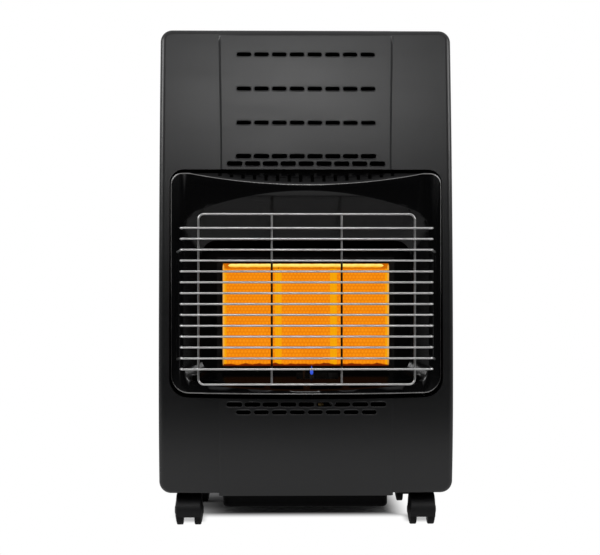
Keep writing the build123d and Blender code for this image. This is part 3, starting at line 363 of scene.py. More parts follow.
def handling_group():
    """Faint uneven sheen left by wiping and handling: wide soft patches, and thin streaks across them."""
    group, tree, given, out = new_group("handling", ["Patch Size"], ["Patches", "Streaks"])
    rate = tree.math("DIVIDE", 1.0, given.outputs["Patch Size"])
    patches = tree.noise(given.outputs["Vector"], rate, detail=3.0, roughness=0.6)
    thin = tree.stretched(given.outputs["Vector"], (0.25, 1.0, 3.0))
    streaks = tree.noise(thin, tree.math("MULTIPLY", rate, 4.0), detail=4.0)
    tree.link(patches, out.inputs["Patches"])
    tree.link(tree.smooth_step(streaks, 0.45, 0.75), out.inputs["Streaks"])
    return group


def drawn_metal_group():
    """Fine lines of rolled or drawn metal: noise pulled out along X, and cloudy spangle."""
    group, tree, given, out = new_group("drawn_metal", ["Line Width"], ["Lines", "Cloud"])
    rate = tree.math("DIVIDE", 1.0, given.outputs["Line Width"])
    along = tree.stretched(given.outputs["Vector"], (0.04, 1.0, 1.0))
    tree.link(tree.noise(along, rate, detail=3.0), out.inputs["Lines"])
    cloud = tree.noise(given.outputs["Vector"], tree.math("MULTIPLY", rate, 0.03), detail=4.0)
    tree.link(cloud, out.inputs["Cloud"])
    return group


POWDER = powder_grain_group()
HANDLING = handling_group()
DRAWN = drawn_metal_group()


def new_material(name):
    """A material with one Principled shader; gives the material, its writer, shader and Object coordinates."""
    material = bpy.data.materials.new(name)
    material.use_nodes = True
    tree = Tree(material.node_tree)
    shader = material.node_tree.nodes["Principled BSDF"]
    place = tree.node("ShaderNodeTexCoord").outputs["Object"]
    return material, tree, shader, place


def bump(tree, shader, height, distance, strength=1.0):
    step = tree.node("ShaderNodeBump")
    tree.link(height, step.inputs["Height"])
    step.inputs["Distance"].default_value = distance
    step.inputs["Strength"].default_value = strength
    tree.link(step.outputs["Normal"], shader.inputs["Normal"])


def rgb(red, green, blue):
    return (red, green, blue, 1.0)


# ---------------------------------------------------------------- finishes
def coated_sheet(name, colour, fleck, grain, rough, depth, gloss=0.5):
    """Powder-coated steel: fine orange-peel, lighter flecks and slightly uneven sheen."""
    material, tree, shader, place = new_material(name)
    shader.inputs["Specular IOR Level"].default_value = gloss
    powder = tree.group(POWDER, Vector=place, Grain_Size=grain)
    handling = tree.group(HANDLING, Vector=place, Patch_Size=0.16)
    base = tree.mix(tree.math("MULTIPLY", powder["Flecks"], 0.6), colour, fleck)
    tree.link(base, shader.inputs["Base Color"])
    uneven = tree.math("MULTIPLY", tree.math("SUBTRACT", handling["Patches"], 0.5), 0.10)
    marks = tree.math("MULTIPLY", handling["Streaks"], 0.02)
    tree.link(tree.math("ADD", tree.math("ADD", uneven, rough), marks), shader.inputs["Roughness"])
    bump(tree, shader, powder["Height"], depth)
    return material


def moulded_plastic(name, colour, rough, grain=0.5 * MM, depth=0.05 * MM, gloss=0.5):
    """Moulded plastic with a fine spark-eroded grain."""
    material, tree, shader, place = new_material(name)
    shader.inputs["Specular IOR Level"].default_value = gloss
    powder = tree.group(POWDER, Vector=place, Grain_Size=grain)
    handling = tree.group(HANDLING, Vector=place, Patch_Size=0.03)
    lighter = tuple(min(1.0, c * 1.5 + 0.004) for c in colour[:3]) + (1.0,)
    tree.link(tree.mix(tree.math("MULTIPLY", powder["Flecks"], 0.5), colour, lighter), shader.inputs["Base Color"])
    tree.link(tree.math("ADD", tree.math("MULTIPLY", handling["Patches"], 0.15), rough - 0.07),
              shader.inputs["Roughness"])
    bump(tree, shader, powder["Height"], depth)
    return material


def bare_metal(name, colour, tint, rough, line=0.4 * MM, depth=0.01 * MM, uneven=0.3, glow_shade=None):
    """Bare or plated metal with drawing lines, cloudy patches of the tint and, if given a shade colour, painted shade
    over the plaques' height.
    """
    material, tree, shader, place = new_material(name)
    drawn = tree.group(DRAWN, Vector=place, Line_Width=line)
    clean = tree.mix(tree.smooth_step(drawn["Cloud"], 0.35, 0.7), colour, tint)
    # painted shade: over the plaques' height the colour turns to the given dark one, where the wires stand against
    # the glow
    if glow_shade:
        z = tree.split(place)[2]
        above = tree.smooth_step(z, PLAQUE_LOW[2] - 6 * MM, PLAQUE_LOW[2] + 4 * MM)
        below = tree.smooth_step(z, PLAQUE_HIGH[2] + 5 * MM, PLAQUE_HIGH[2] - 3 * MM)
        clean = tree.mix(tree.math("MULTIPLY", above, below), clean, glow_shade)
    tree.link(clean, shader.inputs["Base Color"])
    shader.inputs["Metallic"].default_value = 1.0
    spread = tree.math("MULTIPLY", tree.math("SUBTRACT", drawn["Lines"], 0.5), uneven)
    tree.link(tree.math("ADD", spread, rough), shader.inputs["Roughness"])
    bump(tree, shader, drawn["Lines"], depth)
    return material


def enamel(name, colour, rough, gloss):
    """Glossy stove enamel: very slight waviness, a few fine specks, wiped smears in the gloss."""
    material, tree, shader, place = new_material(name)
    shader.inputs["Specular IOR Level"].default_value = gloss
    handling = tree.group(HANDLING, Vector=place, Patch_Size=0.05)
    powder = tree.group(POWDER, Vector=place, Grain_Size=2.5 * MM)
    speck = tuple(c + 0.004 for c in colour[:3]) + (1.0,)
    tree.link(tree.mix(tree.math("MULTIPLY", powder["Flecks"], 0.3), colour, speck), shader.inputs["Base Color"])
    smear = tree.math("MULTIPLY", handling["Patches"], 0.12)
    tree.link(tree.math("ADD", smear, rough), shader.inputs["Roughness"])
    bump(tree, shader, powder["Height"], 0.012 * MM)
    return material


def lit_ceramic():
    """Glowing plaque: rows of fine holes in a coarser quilting, smooth brighter borders, a ragged lower edge."""
    material, tree, shader, place = new_material("lit_ceramic")
    x, _, z = tree.split(place)

    def cells(pitch_x, pitch_z, low, high):
        """Round dots in staggered rows: 1 in the middle of each cell, 0 between them."""
        row = tree.math("DIVIDE", z, pitch_z)
        stagger = tree.math("MULTIPLY", tree.math("MODULO", tree.math("FLOOR", row), 2.0), 0.5)
        along = tree.math("ADD", tree.math("DIVIDE", x, pitch_x), tree.math("ADD", stagger, 100.0))
        du = tree.math("SUBTRACT", tree.math("FRACT", along), 0.5)
        dv = tree.math("SUBTRACT", tree.math("FRACT", row), 0.5)
        away = tree.math("SQRT", tree.math("ADD", tree.math("MULTIPLY", du, du), tree.math("MULTIPLY", dv, dv)))
        return tree.math("SUBTRACT", 1.0, tree.smooth_step(away, low, high))

    hole = cells(HOLE_PITCH, HOLE_PITCH * 0.866, 0.20, 0.42)
    quilt = cells(QUILT_PITCH, QUILT_PITCH, 0.10, 0.62)
    # smooth border of each plaque, along its two upright edges
    across = tree.math("ADD", tree.math("DIVIDE", x, PLAQUE_PITCH), 0.5)
    from_middle = tree.math("ABSOLUTE", tree.math("SUBTRACT", tree.math("FRACT", across), 0.5))
    half = 0.5 - PLAQUE_MARGIN / PLAQUE_PITCH
    border = tree.smooth_step(from_middle, half - 0.004, half + 0.008)
    clouds = tree.noise(place, 42.0, detail=3.0, roughness=0.6)
    patchy = tree.math("ADD", tree.math("MULTIPLY", quilt, 0.62), tree.math("MULTIPLY", clouds, 0.5), clamp=True)
    warm = tree.mix(patchy, rgb(0.80, 0.185, 0.0005), rgb(1.0, 0.335, 0.006))
    holes = tree.mix(tree.math("MULTIPLY", hole, 0.40), warm, rgb(0.66, 0.12, 0.0))
    glow = tree.mix(border, holes, rgb(0.90, 0.365, 0.001))
    # shadow under the burning upper edge, and a cooler uneven line along the lower edge
    under = tree.math("MULTIPLY", tree.smooth_step(z, PLAQUE_HIGH[2] - 8.2 * MM, PLAQUE_HIGH[2] - 6.9 * MM), 0.75)
    glow = tree.mix(under, glow, rgb(0.50, 0.085, 0.0))
    ragged = tree.math("MULTIPLY", tree.noise(tree.stretched(place, (1.0, 0.0, 0.0)), 55.0, detail=2.0), 9 * MM)
    low = tree.math("ADD", ragged, PLAQUE_LOW[2] - 2.5 * MM)
    cool = tree.math("SUBTRACT", 1.0, tree.smooth_step(tree.math("SUBTRACT", z, low), 0.0, 1.6 * MM))
    glow = tree.mix(cool, glow, rgb(0.16, 0.012, 0.0))
    shine_by_itself(tree, shader, glow)
    shader.inputs["Base Color"].default_value = rgb(0.04, 0.012, 0.003)
    shader.inputs["Roughness"].default_value = 0.9
    shader.inputs["Specular IOR Level"].default_value = 0.05
    bump(tree, shader, tree.math("SUBTRACT", 1.0, hole), 0.2 * MM, 0.5)
    return material


def shine_by_itself(tree, shader, glow):
    """Give off the glow's own colour, and throw only a part of it on the sheets round it."""
    seen = tree.node("ShaderNodeLightPath").outputs["Is Camera Ray"]
    thrown = tree.mix(GLOW_THROWN, rgb(0, 0, 0), glow)
    tree.link(tree.mix(seen, thrown, glow), shader.inputs["Emission Color"])
    shader.inputs["Emission Strength"].default_value = 1.0


def glowing(name, low_z, high_z, low_colour, high_colour):
    """A hot edge or flame, its colour running from low_z to high_z."""
    material, tree, shader, place = new_material(name)
    z = tree.split(place)[2]
    flicker = tree.math("MULTIPLY", tree.math("SUBTRACT", tree.noise(place, 90.0), 0.5), 0.8)
    level = tree.math("ADD", tree.smooth_step(z, low_z, high_z), flicker, clamp=True)
    shine_by_itself(tree, shader, tree.mix(level, low_colour, high_colour))
    shader.inputs["Base Color"].default_value = rgb(0.02, 0.012, 0.008)
    shader.inputs["Roughness"].default_value = 0.8
    shader.inputs["Specular IOR Level"].default_value = 0.1
    return material


GREY_POWDER = coated_sheet("grey_powder_coat", rgb(0.0042, 0.0043, 0.0046), rgb(0.0075, 0.0076, 0.0082),
                           1.1 * MM, 0.34, 0.05 * MM, 0.5)
UNDERSIDE = coated_sheet("satin_black_coat", rgb(0.003, 0.003, 0.0033), rgb(0.005, 0.005, 0.0055),
                         1.1 * MM, 0.6, 0.05 * MM, 0.08)
# near-black sheet for the parts inside the cabinet: painted shade of the closed interior seen through the vents
INSIDE_SHADE_SHEET = coated_sheet("sheet_in_painted_shade", rgb(0.004, 0.0038, 0.0036), rgb(0.007, 0.006, 0.0055),
                            1.6 * MM, 0.8, 0.05 * MM, 0.1)
BLACK_ENAMEL = enamel("black_stove_enamel", rgb(0.0016, 0.0016, 0.0018), 0.10, 0.35)
WORN_EDGE = bare_metal("enamel_worn_to_the_steel", rgb(0.36, 0.355, 0.35), rgb(0.28, 0.275, 0.27), 0.34, uneven=0.1)
BRIGHT_WIRE = bare_metal("bright_plated_wire", rgb(0.62, 0.615, 0.61), rgb(0.56, 0.555, 0.55), 0.30,
                         depth=0.001 * MM, uneven=0.06)
# the guard's uprights: plated wire with painted shade over the plaques' height
WIRE_SHADED_BEFORE_GLOW = bare_metal("wire_with_painted_shade", rgb(0.50, 0.495, 0.49), rgb(0.44, 0.435, 0.43), 0.36,
                            depth=0.002 * MM, uneven=0.08, glow_shade=rgb(0.03, 0.018, 0.010))
PLATED_SHEET = bare_metal("aluminised_sheet", rgb(0.50, 0.51, 0.52), rgb(0.38, 0.38, 0.39), 0.38)
HEATED_STEEL = bare_metal("heat_stained_steel", rgb(0.030, 0.028, 0.027), rgb(0.016, 0.013, 0.012), 0.5)
STEEL = bare_metal("zinc_plated_steel", rgb(0.62, 0.62, 0.63), rgb(0.5, 0.5, 0.49), 0.32)
BRASS = bare_metal("machined_brass", rgb(0.72, 0.50, 0.20), rgb(0.58, 0.38, 0.14), 0.28)
COPPER = bare_metal("drawn_copper", rgb(0.70, 0.34, 0.20), rgb(0.48, 0.21, 0.12), 0.30)
# near-black copper for the pipes inside the cabinet: painted shade of the closed interior seen through the vents
INSIDE_SHADE_COPPER = bare_metal("copper_in_painted_shade", rgb(0.030, 0.016, 0.010), rgb(0.014, 0.009, 0.007), 0.6)
BLACK_PLASTIC = moulded_plastic("black_moulded_plastic", rgb(0.006, 0.006, 0.0065), 0.42, gloss=0.2)
WHEEL_PLASTIC = moulded_plastic("wheel_plastic", rgb(0.003, 0.003, 0.0033), 0.45, gloss=0.15)
GREY_RUBBER = moulded_plastic("grey_silicone_boot", rgb(0.16, 0.16, 0.165), 0.6)
RED_PLASTIC = moulded_plastic("red_button_plastic", rgb(0.45, 0.015, 0.012), 0.25, depth=0.01 * MM)
WHITE_CERAMIC = moulded_plastic("glazed_white_ceramic", rgb(0.72, 0.70, 0.64), 0.2, depth=0.01 * MM)
LIT_CERAMIC = lit_ceramic()
HOT_STRIP = glowing("burning_top_strip", PLAQUE_HIGH[2] - 5.5 * MM, PLAQUE_HIGH[2] - 1 * MM,
                    rgb(1.0, 0.50, 0.02), rgb(1.0, 0.95, 0.24))
HOT_BEAD = glowing("glowing_side_bead", PLAQUE_LOW[2], PLAQUE_LOW[2] + 20 * MM,
                   rgb(0.55, 0.24, 0.04), rgb(0.88, 0.42, 0.07))
FLAME = glowing("blue_pilot_flame", 218 * MM, 230 * MM, rgb(0.02, 0.06, 0.62), rgb(0.05, 0.13, 0.70))

FINISHES = {
    "grey_powder": GREY_POWDER, "gloss_black": BLACK_ENAMEL, "black_enamel": UNDERSIDE,
    "plated_sheet": PLATED_SHEET, "heated_steel": HEATED_STEEL, "bright_wire": BRIGHT_WIRE,
    "glowing_ceramic": LIT_CERAMIC, "white_ceramic": WHITE_CERAMIC, "black_plastic": BLACK_PLASTIC,
    "red_plastic": RED_PLASTIC, "wheel_plastic": WHEEL_PLASTIC, "steel": STEEL, "brass": BRASS, "copper": COPPER,
}


# ---------------------------------------------------------------- the CAD's own pieces
ROUNDED_NODES = ["front_panel", "side_panel_left", "side_panel_right", "top_panel", "rear_cover", "handle_cups",
                 "base_plate", "control_panel", "burner_surround", "guard_bars", "guard_loop", "guard_uprights",
                 "guard_hooks", "control_knob", "igniter_button", "pilot_burner", "thermocouple", "gas_tap",
                 "spark_electrode", "hose_nozzle", "piezo_igniter", "caster_stems"]
ROUNDED_NODES += [name for name in nodes if name.startswith(("caster_hood", "caster_wheels"))]


# darker finishes: sheets and pipes inside the cabinet in near black, painted shade of the closed interior seen
# through the vents; the lower reflector in heat-stained steel; and the guard's uprights, with painted shade where
# they stand before the fire
DARKENED_FINISHES = {"partition_panel": INSIDE_SHADE_SHEET, "top_deflector": INSIDE_SHADE_SHEET, "injector_bracket": INSIDE_SHADE_SHEET,
        "burner_left": INSIDE_SHADE_SHEET, "burner_centre": INSIDE_SHADE_SHEET, "burner_right": INSIDE_SHADE_SHEET,
        "burner_housing": INSIDE_SHADE_SHEET, "lower_reflector": HEATED_STEEL, "pilot_pipe": INSIDE_SHADE_COPPER,
        "spark_electrode": INSIDE_SHADE_SHEET, "thermocouple": INSIDE_SHADE_COPPER, "injectors": INSIDE_SHADE_COPPER,
        "thermocouple_lead": INSIDE_SHADE_COPPER, "burner_gas_pipes": INSIDE_SHADE_COPPER, "guard_uprights": WIRE_SHADED_BEFORE_GLOW}


def dress_nodes():
    """Give every CAD node the finish of its record slot, or the darker finish listed for it, the curved ones on a
    smooth-shaded copy.
    """
    slots = {part["node"]: part["material_slot"] for part in frame["record"]["subparts"]}
    for name, node in nodes.items():
        finish = DARKENED_FINISHES.get(name, FINISHES[slots[name]])
        if name in ROUNDED_NODES:
            piece = smoothed(name)
            piece.data.materials.clear()
            piece.data.materials.append(finish)
        for place in node.material_slots:
            place.material = finish


# ---------------------------------------------------------------- small sheet-metal details
def slot_path(length, height, around):
    """A slot's outline: two straight runs and two half circles, as points and outward directions."""
    quarter = around // 2
    half = np.linspace(-math.pi / 2, math.pi / 2, quarter)
    angle = np.concatenate([half, half + math.pi])
    radius, straight = height / 2, (length - height) / 2
    shift = np.concatenate([np.full(quarter, straight), np.full(quarter, -straight)])
    out = np.stack([np.cos(angle), np.sin(angle)], axis=-1)
    points = out * radius
    points[:, 0] += shift
    return points, out


# cross-section of a slot's rolled lip: distance outwards from the slot's edge, height above the sheet
LIP = np.array([(1.5, -0.05), (1.1, 0.16), (0.6, 0.26), (0.2, 0.18), (0.02, -0.05), (0.0, -0.9)]) * MM


def slot_lips(name, slots, depth_of, facing, finish, body):
    """Rolled lips: the cross-section LIP carried round every slot's outline, lying on the sheet."""
    rings = []
    for x, z, length, height in slots:
        points, out = slot_path(length, height, 28)
        flat = points[:, None, :] + out[:, None, :] * LIP[None, :, :1]
        px, pz = x + flat[..., 0], z + flat[..., 1]
        py = depth_of(pz) + facing * LIP[None, :, 1]
        rings.append(np.stack([px, py, pz], axis=-1))
    return grids(name, np.array(rings), body, finish, closed_u=True, flip=facing > 0)


def front_vents():
    slots = [(x, z, length + 2 * VENT_DRAWN_IN, height + 2 * VENT_DRAWN_IN) for x, z, length, height in vents()]
    slot_lips("front_vent_lips", slots, lambda z: front_depth(z, FIELD_RAISE), -1.0, GREY_POWDER,
              "cabinet")


def rear_vents():
    cover_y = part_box("rear_cover")[1][1]
    slots = [((i - 4) * 34 * MM, (z0 + row * 12) * MM, 26 * MM, 5 * MM)
             for z0 in (110, 520) for row in range(4) for i in range(9)]
    slot_lips("rear_cover_vent_lips", slots, lambda z: np.full(z.shape, cover_y - 0.5 * MM), 1.0, GREY_POWDER,
              "rear_door")


def rim_bead():
    """Rolled edge of the surround's lip: a round bead along a rounded rectangle, bowed in plan like the lip and
    cut across by the sloping brow."""
    half_w, sink, radius = RIM_HIGH[0], 0.35 * MM, 0.9 * MM
    quarter = np.linspace(0, math.pi / 2, 24)
    run = np.linspace(-1, 1, 160)
    low_z, top_z = RIM_LOW[2], RIM_TOP_Z

    def corner(side_x, side_z, r, angle):
        x = side_x * (half_w - r) + r * np.cos(angle)
        z = (top_z - r if side_z > 0 else low_z + r) + r * np.sin(angle)
        return x, z

    stretches = [(run * (half_w - RIM_LOW_R), 0 * run + low_z),
                 corner(1, -1, RIM_LOW_R, quarter[1:] - math.pi / 2),
                 corner(1, 1, RIM_TOP_R, quarter),
                 (-run[1:-1] * (half_w - RIM_TOP_R), 0 * run[1:-1] + top_z),
                 corner(-1, 1, RIM_TOP_R, quarter + math.pi / 2),
                 corner(-1, -1, RIM_LOW_R, quarter[:-1] + math.pi)]
    x = np.concatenate([stretch[0] for stretch in stretches])
    z = np.concatenate([stretch[1] for stretch in stretches])
    bow = RIM_BOW_R - np.sqrt(RIM_BOW_R ** 2 - x ** 2)
    z = np.minimum(z, BROW_Z + bow * BROW_SLOPE)
    ahead = np.stack([np.roll(x, -1) - np.roll(x, 1), np.roll(z, -1) - np.roll(z, 1)], axis=-1)
    ahead /= np.linalg.norm(ahead, axis=1, keepdims=True)
    out_x, out_z = ahead[:, 1], -ahead[:, 0]
    v = np.linspace(0, 2 * math.pi, 14, endpoint=False)[None, :]
    reach = radius * np.cos(v) - sink
    px = x[:, None] + out_x[:, None] * reach
    pz = z[:, None] + out_z[:, None] * reach
    py = (RIM_LOW[1] + bow)[:, None] + radius + 0.1 * MM - radius * np.sin(v)
    grids("surround_rolled_edge", np.stack([px, py, pz], axis=-1)[None], "cabinet", WORN_EDGE,
          closed_u=True, closed_v=True)


# ---------------------------------------------------------------- burner
def hot_strip():
    """The burning upper edge of the plaques: a flattened half-round strip, its ends drawn in."""
    u = np.linspace(-1, 1, 97)[:, None]
    v = np.linspace(0, math.pi, 13)[None, :]
    taper = np.clip((1 - np.abs(u)) / 0.03, 0, 1) ** 0.5
    half_w, half_h = 112 * MM, 2.4 * MM
    wave = 0.25 * MM * np.sin(u * 61) * np.sin(u * 23)
    x = u * half_w + 0 * v
    z = PLAQUE_HIGH[2] - 3.0 * MM + np.cos(v) * (half_h * taper) + wave
    y = FACE_Y - 1.6 * MM * np.sin(v) * taper - 0.1 * MM
    grids("burning_strip", np.stack([x, y, z], axis=-1)[None], "cabinet", HOT_STRIP, flip=True)


def side_beads():
    """The two glowing upright edges of the plaque frame: half-round beads closed at both ends."""
    u = np.linspace(0, 1, 60)[:, None]
    v = np.linspace(0, math.pi, 11)[None, :]
    end = np.clip(np.minimum(u, 1 - u) / 0.02, 0, 1) ** 0.5
    radius = 1.2 * MM * end
    low, high = PLAQUE_LOW[2] + 0.5 * MM, PLAQUE_HIGH[2] - 1 * MM
    beads = []
    for side in (-1, 1):
        x = side * (PLAQUE_EDGE_X - 0.6 * MM) + side * radius * np.cos(v)
        y = FACE_Y - 0.3 * MM - radius * 1.5 * np.sin(v)
        z = low + (high - low) * u + 0 * v
        points = np.stack([x, y, z], axis=-1)
        beads.append(points if side > 0 else points[:, ::-1])
    grids("frame_side_beads", np.array(beads), "cabinet", HOT_BEAD)


def plaque_joints():
    """Ceramic cement between the plaques: two narrow upright strips, slightly crowned across."""
    u = np.linspace(0, 1, 40)[:, None]
    v = np.linspace(-1, 1, 7)[None, :]
    low, high = PLAQUE_LOW[2] + 2 * MM, PLAQUE_HIGH[2] - 8 * MM
    strips = []
    for side in (-0.5, 0.5):
        x = side * PLAQUE_PITCH + 1.1 * MM * v + 0 * u
        y = FACE_Y - 0.12 * MM * (1 - v ** 4) + 0.02 * MM + 0 * u
        z = low + (high - low) * u + 0 * v
        strips.append(np.stack([x, y, z], axis=-1))
    grids("plaque_joints", np.array(strips), "cabinet", LIT_CERAMIC)


def pilot_flame():
    """Flame over the pilot tube: a drop whose radius swells and then closes to a point."""
    t = np.linspace(0, 1, 22)
    radius = 2.5 * MM * (np.sin(math.pi * t ** 0.62) ** 0.8) * (1 - 0.25 * t)
    height = t * 13 * MM
    turned("pilot_flame", np.stack([radius, height], axis=-1), PILOT, "z", "cabinet", FLAME, 24)


def weld_beads():
    """Spot welds of the guard: a small flattened ball between every two wires that cross."""
    bars = np.linspace(BAR_TOP_Z, BAR_LOW_Z, BAR_COUNT)
    places = [(x, z) for z in bars for x in (-LOOP_HALF_W, -UPRIGHT_X, UPRIGHT_X, LOOP_HALF_W)]
    lat = np.linspace(0, math.pi, 7)[:, None]
    lon = np.linspace(0, 2 * math.pi, 12, endpoint=False)[None, :]
    ball = np.stack([np.sin(lat) * np.cos(lon) * 1.75, np.sin(lat) * np.sin(lon) * 1.2,
                     np.cos(lat) * 1.65 + 0 * lon], axis=-1) * MM
    centre_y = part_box("guard_bars")[0][1] + 2 * WIRE_R
    centres = np.array([(x, centre_y, z) for x, z in places])
    grids("guard_spot_welds", centres[:, None, None, :] + ball[None], "cabinet", BRIGHT_WIRE,
          closed_v=True, flip=True)


# ---------------------------------------------------------------- controls and casters
def knob_grip():
    """Fluted skirt of the knob: a cylinder whose radius swells in a cosine round the turn."""
    around = np.linspace(0, 2 * math.pi, 240, endpoint=False)[:, None]
    steps = np.array([(20.4, 0.3), (21.2, 0.8), (21.5, 2.0), (21.5, 5.0), (21.1, 6.2), (20.2, 6.8)]) * MM
    flute = 1 + 0.011 * np.cos(around * 30)
    radius = steps[None, :, 0] * flute
    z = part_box("control_knob")[0][2] + steps[None, :, 1] + 0 * around
    points = np.stack([KNOB[0] + radius * np.cos(around), KNOB[1] + radius * np.sin(around), z], axis=-1)
    grids("knob_fluted_skirt", points[None], "knob", BLACK_PLASTIC, closed_u=True)


def knob_pointer():
    """White line on the knob's grip bar: a long low cushion."""
    u = np.linspace(-1, 1, 17)[:, None]
    v = np.linspace(-1, 1, 7)[None, :]
    x = KNOB[0] + 0.8 * MM * v + 0 * u
    y = KNOB[1] + 13.5 * MM + 3.6 * MM * u + 0 * v
    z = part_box("control_knob")[1][2] + 0.12 * MM * (1 - u ** 6) * (1 - v ** 4) - 0.02 * MM
    grids("knob_pointer", np.stack([x, y, z], axis=-1)[None], "knob", WHITE_CERAMIC, flip=True)


def dial_marks():
    """Numbers of the settings of the fire, printed on the well's floor round the knob."""
    for text, turn in (("0", 90), ("1", 40), ("2", -15), ("3", -70)):
        angle = math.radians(turn)
        curve = bpy.data.curves.new("dial_" + text, "FONT")
        curve.body = text
        curve.size = 6 * MM
        curve.extrude = 0.05 * MM
        curve.align_x, curve.align_y = "CENTER", "CENTER"
        mark = bpy.data.objects.new("dial_" + text, curve)
        bpy.context.scene.collection.objects.link(mark)
        bpy.context.view_layer.update()
        mesh = bpy.data.meshes.new_from_object(mark)
        bpy.data.objects.remove(mark)
        reach = 28 * MM
        coords = np.empty(len(mesh.vertices) * 3)
        mesh.vertices.foreach_get("co", coords)
        coords = coords.reshape(-1, 3) + (KNOB[0] + reach * math.cos(angle), KNOB[1] + reach * math.sin(angle),
                                          WELL_FLOOR_Z + 0.05 * MM)
        mesh.vertices.foreach_set("co", coords.ravel())
        mesh.materials.clear()
        mesh.materials.append(WHITE_CERAMIC)
        piece = bpy.data.objects.new("dial_number_" + text, mesh)
        bpy.context.scene.collection.objects.link(piece)
        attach(piece, "cabinet")


def hub_caps():
    """Low hub cap in the middle of each wheel's domed face: a shallow stepped cap turned about the axle."""
    profile = np.array([(0.0, 0.55), (2.4, 0.5), (4.6, 0.35), (5.6, 0.1), (5.9, -0.5)]) * MM
    for name in nodes:
        if not name.startswith("caster_wheels"):
            continue
        low, high = (np.array(corner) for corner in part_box(name))
        outer = name.endswith("right")
        centre = (high[0] if outer else low[0], (low[1] + high[1]) / 2, WHEEL_R)
        turned("hub_" + name[14:], profile, centre, "x" if outer else "-x", nodes[name]["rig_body"],
               WHEEL_PLASTIC, 32)


def lead_fittings():
    """Brass ferrule on the thermocouple's lead and the grey boot on the spark electrode's lead."""
    ferrule = np.array([(1.25, -4.0), (2.6, -3.6), (3.1, -3.2), (3.1, 1.6), (2.4, 2.2), (2.4, 3.6), (1.25, 4.0)]) * MM
    turned("lead_ferrule", ferrule, FERRULE, "x", "cabinet", BRASS, 24)
    boot = np.array([(1.7, -4.6), (3.0, -4.2), (3.3, -3.0), (3.3, 3.0), (2.9, 4.2), (1.7, 4.6)]) * MM
    turned("spark_lead_boot", boot, BOOT, "x", "cabinet", GREY_RUBBER, 24)


# ---------------------------------------------------------------- stage
def floor():
    """Pale floor that shows white to the camera except where the heater shades it."""
    size = 30.0
    mesh = bpy.data.meshes.new("floor")
    mesh.from_pydata([(-size, -size, 0), (size, -size, 0), (size, size, 0), (-size, size, 0)], [], [(0, 1, 2, 3)])
    plane = bpy.data.objects.new("floor", mesh)
    bpy.context.scene.collection.objects.link(plane)
    material, tree, shader, place = new_material("pale_floor")
    shader.inputs["Roughness"].default_value = 0.9
    shader.inputs["Specular IOR Level"].default_value = 0.1
    x, y, _ = tree.split(place)
    # painted pool of light: pale round the heater, darker farther out in the room in front
    near = tree.smooth_step(y, -0.88, -0.40)
    pale = tree.mix(near, rgb(0.03, 0.03, 0.03), rgb(0.75, 0.75, 0.75))
    # painted shade: from the heater's middle backwards the floor's colour darkens to 0.22
    shaded = tree.math("SUBTRACT", 1.0, tree.smooth_step(y, 0.0, 0.08))
    tree.link(tree.mix(shaded, rgb(0.22, 0.22, 0.22), pale), shader.inputs["Base Color"])
    # 0 under the heater, 1 away from it
    left = tree.smooth_step(tree.math("MULTIPLY", x, -1.0), 0.160, 0.205)
    right = tree.smooth_step(x, 0.122, 0.170)
    front = tree.smooth_step(tree.math("MULTIPLY", y, -1.0), -0.008, 0.054)
    back = tree.smooth_step(y, 0.25, 0.60)
    away = tree.math("MAXIMUM", tree.math("MAXIMUM", left, right), tree.math("MAXIMUM", front, back))
    # soft shade under the two front casters
    aside = tree.math("ABSOLUTE", tree.math("SUBTRACT", tree.math("ABSOLUTE", x), CASTER_X))
    beneath = tree.math("MULTIPLY", tree.smooth_step(y, -0.102, -0.068), tree.smooth_step(y, 0.0, -0.04))
    under = tree.math("MULTIPLY", tree.smooth_step(aside, 0.026, 0.012), beneath)
    away = tree.math("MULTIPLY", away, tree.math("SUBTRACT", 1.0, tree.math("MULTIPLY", under, 0.65)))
    path = tree.node("ShaderNodeLightPath")
    # painted reflection: near the heater glossy rays see a faint white added to the floor, part of the same painted
    # pool of light
    mirror = tree.math("MAXIMUM", path.outputs["Is Glossy Ray"], path.outputs["Is Transmission Ray"])
    mirror = tree.math("MULTIPLY", tree.math("MULTIPLY", mirror, near), 0.2)
    seen = tree.math("MAXIMUM", path.outputs["Is Camera Ray"], mirror)
    white = tree.node("ShaderNodeEmission")
    white.inputs["Color"].default_value = rgb(1, 1, 1)
    blend = tree.node("ShaderNodeMixShader")
    tree.link(tree.math("MULTIPLY", away, seen), blend.inputs[0])
    tree.link(shader.outputs[0], blend.inputs[1])
    tree.link(white.outputs[0], blend.inputs[2])
    output = material.node_tree.nodes["Material Output"]
    tree.link(blend.outputs[0], output.inputs["Surface"])
    mesh.materials.append(material)


def studio_world():
    """White behind the heater; in front a dark room at the heater's height that grows lighter overhead."""
    world = bpy.data.worlds.new("studio")
    bpy.context.scene.world = world
    world.use_nodes = True
    tree = Tree(world.node_tree)
    background = world.node_tree.nodes["Background"]
    direction = tree.node("ShaderNodeTexCoord").outputs["Generated"]
    _, y, z = tree.split(direction)
    room = tree.mix(tree.smooth_step(z, 0.24, 0.50), rgb(0.012, 0.012, 0.013), rgb(0.62, 0.62, 0.63))
    room = tree.mix(tree.smooth_step(z, 0.55, 0.85), room, rgb(0.80, 0.80, 0.81))
    behind = tree.smooth_step(y, 0.0, 0.4)
    lighting = tree.mix(behind, room, rgb(0.45, 0.45, 0.46))
    path = tree.node("ShaderNodeLightPath")
    mirror = tree.math("MAXIMUM", path.outputs["Is Glossy Ray"], path.outputs["Is Transmission Ray"])
    shown = tree.math("MAXIMUM", path.outputs["Is Camera Ray"],
                      tree.math("MULTIPLY", tree.math("MULTIPLY", mirror, behind), 0.25))
    tree.link(tree.mix(shown, lighting, rgb(1, 1, 1)), background.inputs["Color"])
    background.inputs["Strength"].default_value = 1.0


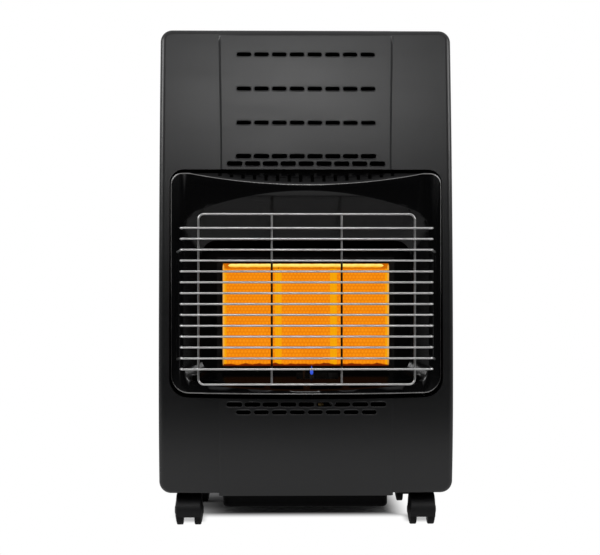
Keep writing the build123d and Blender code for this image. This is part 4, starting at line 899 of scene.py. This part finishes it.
def softbox(name, place, target, width, height, power, colour=(1, 1, 1)):
    lamp = bpy.data.lights.new(name, "AREA")
    lamp.shape = "RECTANGLE"
    lamp.size, lamp.size_y = width, height
    lamp.energy = power
    lamp.color = colour
    lamp.cycles.use_multiple_importance_sampling = True
    holder = bpy.data.objects.new(name, lamp)
    bpy.context.scene.collection.objects.link(holder)
    holder.location = place
    aim = np.array(target, float) - np.array(place, float)
    length = float(np.linalg.norm(aim))
    pitch = math.acos(-aim[2] / length)
    yaw = math.atan2(aim[1], aim[0]) - math.pi / 2
    holder.rotation_euler = (pitch, 0.0, yaw)
    return holder


def lights():
    """One softbox above the front, a narrow upright one each side."""
    softbox("top_softbox", (0.0, -1.95, 1.34), (0, -0.15, 0.6), 0.50, 0.28, 5.6)
    softbox("left_softbox", (-1.7, -0.75, 1.25), (0, 0, 0.6), 1.0, 0.6, 16)
    softbox("right_softbox", (1.7, -0.75, 1.15), (0, 0, 0.6), 1.0, 0.6, 12)


# ---------------------------------------------------------------- camera
CAMERA_Y = -2.364
CAMERA_Z = 0.3542
FOCAL_PX = 1548.0                          # focal length in pixels of a picture 600 wide
PICTURE_W, PICTURE_H = 600.0, 555.0
AXIS_PX = (306.3, 280.7)                   # where the camera's axis meets the picture
TURN = math.radians(1.2)                   # the heater's right side stands a little farther off


def camera():
    lens = bpy.data.cameras.new("camera")
    lens.sensor_width = 36.0
    lens.lens = FOCAL_PX / PICTURE_W * lens.sensor_width
    lens.shift_x = (PICTURE_W / 2 - AXIS_PX[0]) / PICTURE_W
    lens.shift_y = (AXIS_PX[1] - PICTURE_H / 2) / PICTURE_W
    eye = bpy.data.objects.new("camera", lens)
    bpy.context.scene.collection.objects.link(eye)
    pivot_y = BELLY_Y
    reach = pivot_y - CAMERA_Y
    eye.location = (-reach * math.sin(TURN), pivot_y - reach * math.cos(TURN), CAMERA_Z)
    eye.rotation_euler = (math.pi / 2, 0.0, -TURN)
    bpy.context.scene.camera = eye


dress_nodes()
front_vents()
rear_vents()
rim_bead()
hot_strip()
side_beads()
plaque_joints()
pilot_flame()
weld_beads()
knob_grip()
knob_pointer()
dial_marks()
hub_caps()
lead_fittings()
floor()
studio_world()
lights()
camera()
bpy.context.scene.view_settings.view_transform = "Standard"
